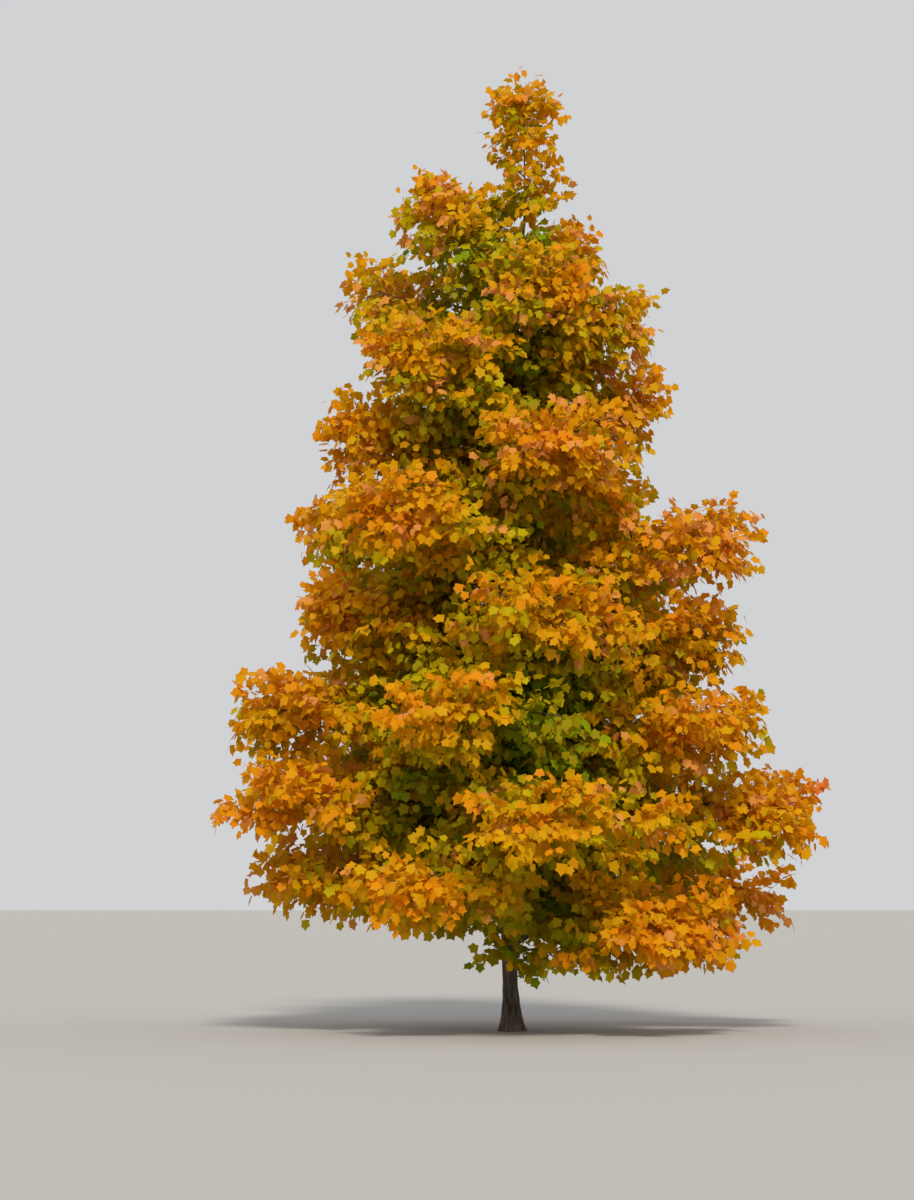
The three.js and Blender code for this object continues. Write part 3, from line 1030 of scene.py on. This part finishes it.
@dataclass(frozen=True)
class LeafForm:
    """A maple's leaf: five lobes round a midrib, its blade folded and hanging."""

    length: float = 0.086
    length_spread: float = 0.28
    growth: Pair = (1.18, 0.94)
    petiole: float = 0.05
    petiole_least: float = 0.7
    petiole_spread: float = 0.6
    stalk_half_width: float = 0.002
    stalk_rise: float = 0.25
    stalk_scatter: float = 0.2
    fold: float = 0.16
    curl: float = 0.22
    cup_spread: float = 0.9
    half_outline: tuple[Pair, ...] = (
        (0.02, 0.44),
        (0.28, 0.39),
        (0.58, 0.5),
        (0.68, 0.27),
    )
    slots: tuple[tuple[float, int], ...] = ((0.6, -1), (0.6, 1), (1.0, 0))
    pair_spread: float = 58
    droop: Pair = (0.1, 1.3)
    flutter: float = 0.55

    def blade(self) -> tuple[np.ndarray, np.ndarray]:
        """The leaf's points, forward, aside and up in shares of its length, and its triangles.

        Returns:
            The points, from the base round the right side, and the triangles.
        """
        right = [(0.0, 0.0), *self.half_outline, (1.0, 0.0)]
        left = [(forward, -aside) for forward, aside in reversed(self.half_outline)]
        rim = [*right, *left]
        points = [
            (forward, aside, -self.fold * abs(aside) - self.curl * max(0.0, forward) ** 2)
            for forward, aside in rim
        ]
        faces = [(0, step + 1, step) for step in range(1, len(rim) - 1)]
        return np.array(points), np.array(faces)


def unit(rows: np.ndarray) -> np.ndarray:
    """Rows of vectors, each at length 1."""
    return rows / np.linalg.norm(rows, axis=1, keepdims=True)


@dataclass(frozen=True)
class SprayRows:
    """Sprays as arrays, a row for each: where they spring, their ways, upper sides and lengths."""

    root: np.ndarray
    along: np.ndarray
    face: np.ndarray
    length: np.ndarray

    @classmethod
    def of(cls, sprays: Sequence[Spray]) -> "SprayRows":
        """The rows of some sprays.

        Args:
            sprays: The sprays.

        Returns:
            Their rows.
        """
        root = np.array([spray.root for spray in sprays])
        along = np.array([spray.along for spray in sprays])
        face = np.array([spray.face for spray in sprays])
        return cls(root, along, face, np.array([spray.length for spray in sprays]))


@dataclass(frozen=True)
class Foliage:
    """Turns the sprays of a tier into one mesh of single leaves."""

    crown: Crown
    leaf: LeafForm
    low: Vector
    high: Vector

    def dress(
        self, name: str, growths: Sequence[Growth], finishes: Sequence[bpy.types.Material]
    ) -> bpy.types.Object:
        """Makes the leaves of some masses.

        Args:
            name: The piece's name.
            growths: The masses' growth.
            finishes: The leaf finishes, one for each tint.

        Returns:
            The piece.
        """
        rule = TintRule(self.crown)
        pairs = [(growth.mass, spray) for growth in growths for spray in growth.sprays]
        tints = np.array([rule.tint_of(mass, spray) for mass, spray in pairs])
        rows = SprayRows.of([spray for _, spray in pairs])
        rng = np.random.default_rng([TREE_SEED, growths[0].mass.key])
        vertices, triangles, kinds = [], [], []
        used = 0
        for share, hand in self.leaf.slots:
            made, faces = self._leaves(rows, share, hand, rng)
            inside = self._inside(made)
            made = made[inside]
            count, corners = made.shape[:2]
            vertices.append(made.reshape(-1, 3))
            starts = used + corners * np.arange(count)
            triangles.append((starts[:, None, None] + faces[None]).reshape(-1, 3))
            kinds.append(np.repeat(tints[inside], len(faces)))
            used += corners * count
        piece = joined_mesh(name, np.concatenate(vertices), np.concatenate(triangles))
        for finish in finishes:
            piece.data.materials.append(finish)
        piece.data.polygons.foreach_set("material_index", np.concatenate(kinds))
        return piece

    def _leaves(
        self, rows: SprayRows, share: float, hand: int, rng: np.random.Generator
    ) -> tuple[np.ndarray, np.ndarray]:
        """One leaf on each spray, all at the same place on it.

        Args:
            rows: The sprays.
            share: How far along them the leaves stand.
            hand: Which side of them, or 0 at their ends.
            rng: The numbers that make each leaf differ.

        Returns:
            The corners of each leaf, and the triangles of one.
        """
        leaf, along, face = self.leaf, rows.along, rows.face
        count = len(along)
        spread = math.radians(leaf.pair_spread) * abs(hand)
        stalk = math.cos(spread) * along + hand * math.sin(spread) * np.cross(face, along)
        scatter = leaf.stalk_scatter * rng.standard_normal((count, 3))
        stalk = unit(stalk + leaf.stalk_rise * face + scatter)
        node = rows.root + (share * rows.length)[:, None] * along
        petiole = leaf.petiole * (leaf.petiole_least + leaf.petiole_spread * rng.random(count))
        base = node + petiole[:, None] * stalk
        droop = rng.uniform(*leaf.droop, count)[:, None]
        heading = unit(stalk * np.cos(droop) - np.array(UP) * np.sin(droop))
        normal = face + leaf.flutter * rng.standard_normal((count, 3))
        normal = unit(normal - np.sum(normal * heading, axis=1, keepdims=True) * heading)
        side = np.cross(heading, normal)
        size = leaf.length * (1 + leaf.length_spread * rng.uniform(-1, 1, count))
        size *= mix(*leaf.growth, rows.root[:, 2] / self.crown.form.top)
        cup = 1 + leaf.cup_spread * rng.uniform(-1, 1, count)
        points, faces = leaf.blade()
        blades = (
            base[:, None]
            + (size[:, None] * points[:, 0])[:, :, None] * heading[:, None]
            + (size[:, None] * points[:, 1])[:, :, None] * side[:, None]
            + ((size * cup)[:, None] * points[:, 2])[:, :, None] * normal[:, None]
        )
        thin = leaf.stalk_half_width * side
        stalks = np.stack([node - thin, node + thin, base], axis=1)
        last = len(points)
        strip = np.array([(last, last + 2, last + 1)])
        return np.concatenate([blades, stalks], axis=1), np.concatenate([faces, strip])

    def _inside(self, made: np.ndarray) -> np.ndarray:
        """Which leaves keep inside the tree's own box."""
        low, high = np.array(self.low), np.array(self.high)
        return np.all((made > low) & (made < high), axis=(1, 2))


class TwigWork:
    """Turns limbs into tubes of a few sides, joined by tier."""

    def dress(
        self, name: str, growths: Sequence[Growth], finish: bpy.types.Material
    ) -> bpy.types.Object:
        """Makes the twigs of some masses.

        Args:
            name: The piece's name.
            growths: The masses' growth.
            finish: The twigs' finish.

        Returns:
            The piece.
        """
        vertices, faces = [], []
        used = 0
        for limb in (limb for growth in growths for limb in growth.limbs):
            rings = self._rings(limb)
            vertices.append(rings.reshape(-1, 3))
            faces += [tuple(used + corner for corner in face) for face in self._skin(limb)]
            used += rings.shape[0] * rings.shape[1]
        piece = smoothed(joined_mesh(name, np.concatenate(vertices), faces))
        piece.data.materials.append(finish)
        return piece

    def _rings(self, limb: Limb) -> np.ndarray:
        """The rings of corners round a limb.

        Args:
            limb: The limb.

        Returns:
            Ring by ring, the corners' places.
        """
        turns = [2 * math.pi * turn / limb.sides for turn in range(limb.sides)]
        rings = []
        for step in range(limb.steps + 1):
            share = step / limb.steps
            centre, along = limb.line.point(share), limb.line.along(share)
            side = square_to(Vector((1, 0, 0)) if abs(along.z) > STEEP else UP, along)
            over = along.cross(side)
            radius = between(limb.radii, share)
            rings.append(
                [centre + radius * (math.cos(t) * side + math.sin(t) * over) for t in turns]
            )
        return np.array(rings)

    def _skin(self, limb: Limb) -> list[tuple[int, ...]]:
        """The faces of a limb's tube, with both ends closed.

        Args:
            limb: The limb.

        Returns:
            The faces, as rows of corner numbers.
        """
        sides, steps = limb.sides, limb.steps
        faces: list[tuple[int, ...]] = []
        for start in range(0, steps * sides, sides):
            for turn in range(sides):
                here, beside = start + turn, start + (turn + 1) % sides
                faces.append((here, beside, beside + sides, here + sides))
        faces.append(tuple(reversed(range(sides))))
        faces.append(tuple(steps * sides + turn for turn in range(sides)))
        return faces


@dataclass(frozen=True)
class BarkForm:
    """The bark's relief, of long flat ridges that follow the limb, and how fine its mesh is."""

    ridge_depth: float = 0.0042
    ridge_scale: float = 34.0
    ridge_stretch: float = 0.16
    ridge_full_radius: float = 0.05
    swell_depth: float = 0.03
    swell_scale: float = 1.6
    collar: float = 0.35
    collar_fade: float = 9.0
    trunk_sides: int = 56
    trunk_rings: int = 190
    trunk_ring_power: float = 1.5
    bough_sides: int = 16
    bough_rings: int = 26

    def relief(self, place: Vector, radius: float) -> float:
        """How far the bark stands out of a limb's plain surface.

        Args:
            place: The point on the plain surface.
            radius: The limb's radius there.

        Returns:
            The distance.
        """
        grain = Vector((place.x, place.y, place.z * self.ridge_stretch)) * self.ridge_scale
        ridge = 1 - 2 * abs(noise.noise(grain))
        swell = noise.noise(place * self.swell_scale)
        depth = self.ridge_depth * min(1.0, radius / self.ridge_full_radius)
        return depth * ridge + self.swell_depth * radius * swell


@dataclass(frozen=True)
class Timber:
    """The trunk and the boughs, with the relief of their bark."""

    crown: Crown
    bark: BarkForm

    def trunk(self) -> bpy.types.Object:
        """Makes the trunk from its flat cut to its tip.

        Returns:
            The piece.
        """
        rings, power = self.bark.trunk_rings, self.bark.trunk_ring_power
        tall = self.crown.trunk.height
        heights = [tall * (ring / rings) ** power for ring in range(rings + 1)]
        return self._swept("trunk_bark", heights, self.bark.trunk_sides, self._trunk_corner)

    def bough(self, mass: Mass) -> bpy.types.Object:
        """Makes one bough, from inside the trunk to where it enters its mass.

        Args:
            mass: The mass that the bough carries.

        Returns:
            The piece.
        """
        rings = self.bark.bough_rings
        shares = [ring / rings for ring in range(rings + 1)]
        corner = partial(self._bough_corner, mass)
        return self._swept(f"bough_bark_{mass.label}", shares, self.bark.bough_sides, corner)

    def _trunk_corner(self, height: float, angle: float) -> Vector:
        """The place of one corner of the trunk's surface.

        Args:
            height: Its height.
            angle: Its azimuth in radians.

        Returns:
            The place.
        """
        form = self.crown.trunk
        radius = form.radius_at(height, angle)
        place = form.centre(height) + radius * outwards(angle)
        return place + self.bark.relief(place, radius) * outwards(angle)

    def _bough_corner(self, mass: Mass, share: float, angle: float) -> Vector:
        """The place of one corner of a bough's surface.

        Args:
            mass: The mass that the bough carries.
            share: How far along the bough it lies.
            angle: Its angle round the bough, from the upper side.

        Returns:
            The place.
        """
        centre, along = mass.bough.point(share), mass.bough.along(share)
        side = square_to(UP, along)
        way = math.cos(angle) * side + math.sin(angle) * along.cross(side)
        collar = 1 + self.bark.collar * math.exp(-share * self.bark.collar_fade)
        radius = mix(mass.root_radius, mass.join_radius, share) * collar
        place = centre + radius * way
        return place + self.bark.relief(place, radius) * way

    def _swept(
        self,
        name: str,
        places: Sequence[float],
        sides: int,
        corner: Callable[[float, float], Vector],
    ) -> bpy.types.Object:
        """Extrudes a ring of corners along a limb, and closes both ends.

        Args:
            name: The piece's name.
            places: Where the rings lie along the limb.
            sides: How many corners each ring has.
            corner: The place of a corner, from its ring's place and its angle.

        Returns:
            The piece.
        """
        shell = bmesh.new()
        made = bmesh.ops.create_circle(shell, cap_ends=False, segments=sides, radius=1.0)
        front = list(made["verts"])
        angles = [math.atan2(vert.co.y, vert.co.x) for vert in front]
        for vert, angle in zip(front, angles):
            vert.co = corner(places[0], angle)
        edges = list(shell.edges)
        bmesh.ops.contextual_create(shell, geom=edges)
        for place in places[1:]:
            grown = bmesh.ops.extrude_edge_only(shell, edges=edges)["geom"]
            fresh = {part for part in grown if isinstance(part, bmesh.types.BMVert)}
            edges = [part for part in grown if isinstance(part, bmesh.types.BMEdge)]
            edges = [edge for edge in edges if all(vert in fresh for vert in edge.verts)]
            front = [self._twin(vert, fresh) for vert in front]
            for vert, angle in zip(front, angles):
                vert.co = corner(place, angle)
        bmesh.ops.contextual_create(shell, geom=edges)
        bmesh.ops.recalc_face_normals(shell, faces=shell.faces)
        self._put_in_order(shell)
        return smoothed(from_shell(name, shell))

    def _twin(self, vert: bmesh.types.BMVert, fresh: set[bmesh.types.BMVert]) -> bmesh.types.BMVert:
        """The new corner that was extruded from an old one."""
        return next(other for edge in vert.link_edges for other in edge.verts if other in fresh)

    def _put_in_order(self, shell: bmesh.types.BMesh) -> None:
        """Sorts a shell's edges and faces, which extruding leaves in another order each run.

        Args:
            shell: The shell.
        """
        shell.verts.index_update()
        count = len(shell.verts)

        def rank(part: bmesh.types.BMEdge | bmesh.types.BMFace) -> int:
            """A number made of the part's first corner and its last."""
            numbers = [vert.index for vert in part.verts]
            return min(numbers) * count + max(numbers)

        shell.edges.sort(key=rank)
        shell.faces.sort(key=rank)


class Value:
    """A number in a shader, which Python's own operators work on."""

    def __init__(self, board: "NodeBoard", socket: bpy.types.NodeSocket) -> None:
        """Wraps the socket of a board that gives the number."""
        self.board = board
        self.socket = socket

    def _joined(self, operation: str, first: "Value | float", second: "Value | float") -> "Value":
        """Adds the Math node for one operation."""
        node = self.board.add("ShaderNodeMath", {"operation": operation}, {0: first, 1: second})
        return Value(self.board, node.outputs[0])

    def __add__(self, other: "Value | float") -> "Value":
        """Adds."""
        return self._joined("ADD", self, other)

    def __radd__(self, other: float) -> "Value":
        """Adds from the right."""
        return self._joined("ADD", other, self)

    def __sub__(self, other: "Value | float") -> "Value":
        """Subtracts."""
        return self._joined("SUBTRACT", self, other)

    def __rsub__(self, other: float) -> "Value":
        """Subtracts from the right."""
        return self._joined("SUBTRACT", other, self)

    def __mul__(self, other: "Value | float") -> "Value":
        """Multiplies."""
        return self._joined("MULTIPLY", self, other)

    def __rmul__(self, other: float) -> "Value":
        """Multiplies from the right."""
        return self._joined("MULTIPLY", other, self)


class NodeBoard:
    """The nodes of one material."""

    def __init__(self, name: str) -> None:
        """Makes an empty material.

        Args:
            name: Its name.
        """
        self.material = bpy.data.materials.new(name)
        self.material.use_nodes = True
        self.tree = self.material.node_tree
        self.tree.nodes.clear()

    def add(
        self, kind: str, settings: dict | None = None, inputs: dict | None = None
    ) -> bpy.types.Node:
        """Adds one node.

        Args:
            kind: The node's type.
            settings: What is set on the node itself, or the stops of its ramp.
            inputs: Values or links for its sockets.

        Returns:
            The node.
        """
        node = self.tree.nodes.new(kind)
        for name, value in (settings or {}).items():
            if name == "stops":
                self._set_stops(node.color_ramp, value)
            else:
                setattr(node, name, value)
        for name, value in (inputs or {}).items():
            value = value.socket if isinstance(value, Value) else value
            if isinstance(value, bpy.types.NodeSocket):
                self.tree.links.new(value, node.inputs[name])
            else:
                node.inputs[name].default_value = value
        return node

    def _set_stops(self, ramp: bpy.types.ColorRamp, stops: Sequence[tuple[float, Colour]]) -> None:
        """Sets a ramp's stops.

        Args:
            ramp: The ramp.
            stops: Each stop's place and colour.
        """
        while len(ramp.elements) < len(stops):
            ramp.elements.new(0.5)
        for element, (place, colour) in zip(ramp.elements, stops):
            element.position = place
            element.color = colour

    def finish(self, shader: bpy.types.Node) -> bpy.types.Material:
        """Links a shader to the output and gives the material back."""
        self.add("ShaderNodeOutputMaterial", None, {"Surface": shader.outputs[0]})
        return self.material


@dataclass(frozen=True)
class BarkFinish:
    """Grey-brown bark, darker in its furrows and paler where it flakes."""

    name: str = "bark_grey_brown"
    stops: tuple[tuple[float, Colour], ...] = (
        (0.36, (0.035, 0.026, 0.019, 1.0)),
        (0.5, (0.115, 0.088, 0.066, 1.0)),
        (0.64, (0.235, 0.2, 0.16, 1.0)),
    )
    grain: float = 42.0
    grain_detail: float = 4.0
    grain_roughness: float = 0.6
    grain_share: float = 0.7
    stretch: float = 0.14
    patch_scale: float = 5.0
    patch_detail: float = 2.0
    bump: float = 0.5
    bump_distance: float = 0.004
    roughest: float = 1.05
    roughness_loss: float = 0.3
    specular: float = 0.25

    def make(self) -> bpy.types.Material:
        """Makes the material.

        Returns:
            The material.
        """
        board = NodeBoard(self.name)
        place = board.add("ShaderNodeTexCoord").outputs["Object"]
        scale = (1.0, 1.0, self.stretch)
        drawn = board.add("ShaderNodeMapping", None, {"Vector": place, "Scale": scale}).outputs[0]
        grain = {
            "Scale": self.grain,
            "Detail": self.grain_detail,
            "Roughness": self.grain_roughness,
        }
        furrows = board.add("ShaderNodeTexNoise", None, {"Vector": drawn, **grain})
        spots = {"Scale": self.patch_scale, "Detail": self.patch_detail}
        patches = board.add("ShaderNodeTexNoise", None, {"Vector": place, **spots})
        height = Value(board, furrows.outputs["Fac"])
        patch = Value(board, patches.outputs["Fac"])
        shade = self.grain_share * height + (1 - self.grain_share) * patch
        ramp = board.add("ShaderNodeValToRGB", {"stops": self.stops}, {"Fac": shade})
        relief = {"Height": height, "Strength": self.bump, "Distance": self.bump_distance}
        bump = board.add("ShaderNodeBump", None, relief)
        roughness = self.roughest - self.roughness_loss * height
        shader = board.add(
            "ShaderNodeBsdfPrincipled",
            None,
            {
                "Base Color": ramp.outputs["Color"],
                "Roughness": roughness,
                "Normal": bump.outputs["Normal"],
                "Specular IOR Level": self.specular,
            },
        )
        return board.finish(shader)


@dataclass(frozen=True)
class TwigFinish:
    """Smooth young bark, red-brown with a grey bloom."""

    name: str = "twig_red_brown"
    stops: tuple[tuple[float, Colour], ...] = (
        (0.38, (0.05, 0.028, 0.018, 1.0)),
        (0.62, (0.16, 0.1, 0.066, 1.0)),
    )
    bloom_scale: float = 9.0
    bloom_detail: float = 3.0
    roughness: float = 0.7
    specular: float = 0.3

    def make(self) -> bpy.types.Material:
        """Makes the material.

        Returns:
            The material.
        """
        board = NodeBoard(self.name)
        place = board.add("ShaderNodeTexCoord").outputs["Object"]
        spots = {"Scale": self.bloom_scale, "Detail": self.bloom_detail}
        bloom = board.add("ShaderNodeTexNoise", None, {"Vector": place, **spots})
        stops = {"stops": self.stops}
        ramp = board.add("ShaderNodeValToRGB", stops, {"Fac": bloom.outputs["Fac"]})
        shader = board.add(
            "ShaderNodeBsdfPrincipled",
            None,
            {
                "Base Color": ramp.outputs["Color"],
                "Roughness": self.roughness,
                "Specular IOR Level": self.specular,
            },
        )
        return board.finish(shader)


@dataclass(frozen=True)
class LeafFinish:
    """A thin leaf in one plain tint, with some light coming through it."""

    tint: LeafTint
    glow: float = 0.42
    roughness: float = 0.6
    specular: float = 0.12

    def make(self) -> bpy.types.Material:
        """Makes the material.

        Returns:
            The material.
        """
        board = NodeBoard(f"leaf_{self.tint.name.lower()}")
        skin = board.add(
            "ShaderNodeBsdfPrincipled",
            None,
            {
                "Base Color": self.tint.linear,
                "Roughness": self.roughness,
                "Specular IOR Level": self.specular,
            },
        )
        through = board.add("ShaderNodeBsdfTranslucent", None, {"Color": self.tint.linear})
        inputs = {0: self.glow, 1: skin.outputs[0], 2: through.outputs[0]}
        return board.finish(board.add("ShaderNodeMixShader", None, inputs))


@dataclass(frozen=True)
class Studio:
    """A pale floor, soft light from the front and above, and the photograph's viewpoint."""

    eye: Place = (-0.55, -40.0, 1.6)
    aim: Place = (-0.55, 0.0, 4.3)
    lens: float = 120.0
    farthest: float = 1000.0
    sun_power: float = 2.75
    sun_spread: float = 10.0
    sun_from: Place = (0.05, -0.88, 0.78)
    sun_colour: Place = (1.0, 0.95, 0.86)
    sky: Colour = (0.86, 0.87, 0.89, 1.0)
    sky_power: float = 0.74
    floor_half: float = 120.0
    floor_colour: Colour = (0.42, 0.41, 0.39, 1.0)
    floor_roughness: float = 0.9

    def build(self) -> None:
        """Makes the camera, the lights and the floor."""
        bpy.context.scene.view_settings.view_transform = "Standard"
        self._camera()
        self._sun()
        self._sky()
        self._floor()

    def _camera(self) -> None:
        """Makes the camera at the photograph's viewpoint."""
        camera = linked("camera", bpy.data.cameras.new("camera"))
        camera.data.lens = self.lens
        camera.data.clip_end = self.farthest
        camera.location = self.eye
        aim = Vector(self.aim) - Vector(self.eye)
        camera.rotation_euler = aim.to_track_quat("-Z", "Y").to_euler()
        bpy.context.scene.camera = camera

    def _sun(self) -> None:
        """Makes the soft sun."""
        sun = linked("sun", bpy.data.lights.new("sun", "SUN"))
        sun.data.energy = self.sun_power
        sun.data.angle = math.radians(self.sun_spread)
        sun.data.color = self.sun_colour
        sun.rotation_euler = Vector(self.sun_from).to_track_quat("Z", "Y").to_euler()

    def _sky(self) -> None:
        """Makes the plain light of the sky."""
        world = bpy.data.worlds.new("studio")
        world.use_nodes = True
        light = world.node_tree.nodes["Background"]
        light.inputs["Color"].default_value = self.sky
        light.inputs["Strength"].default_value = self.sky_power
        bpy.context.scene.world = world

    def _floor(self) -> None:
        """Makes the pale floor."""
        sheet = bmesh.new()
        bmesh.ops.create_grid(sheet, x_segments=1, y_segments=1, size=self.floor_half)
        floor = from_shell("floor", sheet)
        board = NodeBoard("floor_pale")
        look = {"Base Color": self.floor_colour, "Roughness": self.floor_roughness}
        shader = board.add("ShaderNodeBsdfPrincipled", None, look)
        floor.data.materials.append(board.finish(shader))
        floor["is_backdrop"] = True


@dataclass(frozen=True)
class RedMaple:
    """The whole tree: its timber, its twigs and its leaves."""

    crown: Crown
    low: Vector
    high: Vector

    def build(self) -> None:
        """Makes every piece and hides the solids that it stands for."""
        self._timber()
        self._foliage()

    def _timber(self) -> None:
        """Makes the trunk and the boughs."""
        timber = Timber(self.crown, BarkForm())
        bark = BarkFinish().make()
        self._settle(timber.trunk(), ["trunk"], bark)
        for mass in self.crown.masses:
            if mass.level < self.crown.form.boughed_tiers:
                self._settle(timber.bough(mass), [f"bough_{mass.label}"], bark)

    def _foliage(self) -> None:
        """Makes the twigs and the leaves, tier by tier."""
        fine = FineGrowth(self.crown)
        work = TwigWork()
        foliage = Foliage(self.crown, LeafForm(), self.low, self.high)
        twig_finish = TwigFinish().make()
        leaf_finishes = [LeafFinish(tint).make() for tint in LeafTint]
        for level in sorted({mass.level for mass in self.crown.masses}):
            masses = [mass for mass in self.crown.masses if mass.level == level]
            growths = [fine.grow(mass) for mass in masses]
            nodes = [mass.node for mass in masses]
            twigs = work.dress(f"twigs_tier_{level + 1}", growths, twig_finish)
            self._settle(twigs, nodes)
            leaves = foliage.dress(f"leaves_tier_{level + 1}", growths, leaf_finishes)
            self._settle(leaves, nodes)
            sprays = sum(len(growth.sprays) for growth in growths)
            LOG.info("tier %d: %d sprays", level + 1, sprays)

    def _settle(
        self,
        piece: bpy.types.Object,
        nodes: Sequence[str],
        finish: bpy.types.Material | None = None,
    ) -> None:
        """Gives a piece its finish and its body, and hides the solids that it stands for.

        Args:
            piece: The piece.
            nodes: The solids that it stands for.
            finish: Its finish, where it has none yet.
        """
        if finish:
            piece.data.materials.append(finish)
        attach(piece, BODY)
        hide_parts(*nodes)
        faces = sum(len(polygon.vertices) - 2 for polygon in piece.data.polygons)
        LOG.info("%s: %d triangles", piece.name, faces)


def main() -> None:
    """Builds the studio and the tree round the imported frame."""
    logging.basicConfig(level=logging.INFO, format="%(message)s")
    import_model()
    low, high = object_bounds()
    Studio().build()
    grow = LEAF_ROOM * (high - low)
    crown = Crown(TrunkForm(), CrownForm())
    RedMaple(crown, low - grow, high + grow).build()


if __name__ == "__main__":
    main()
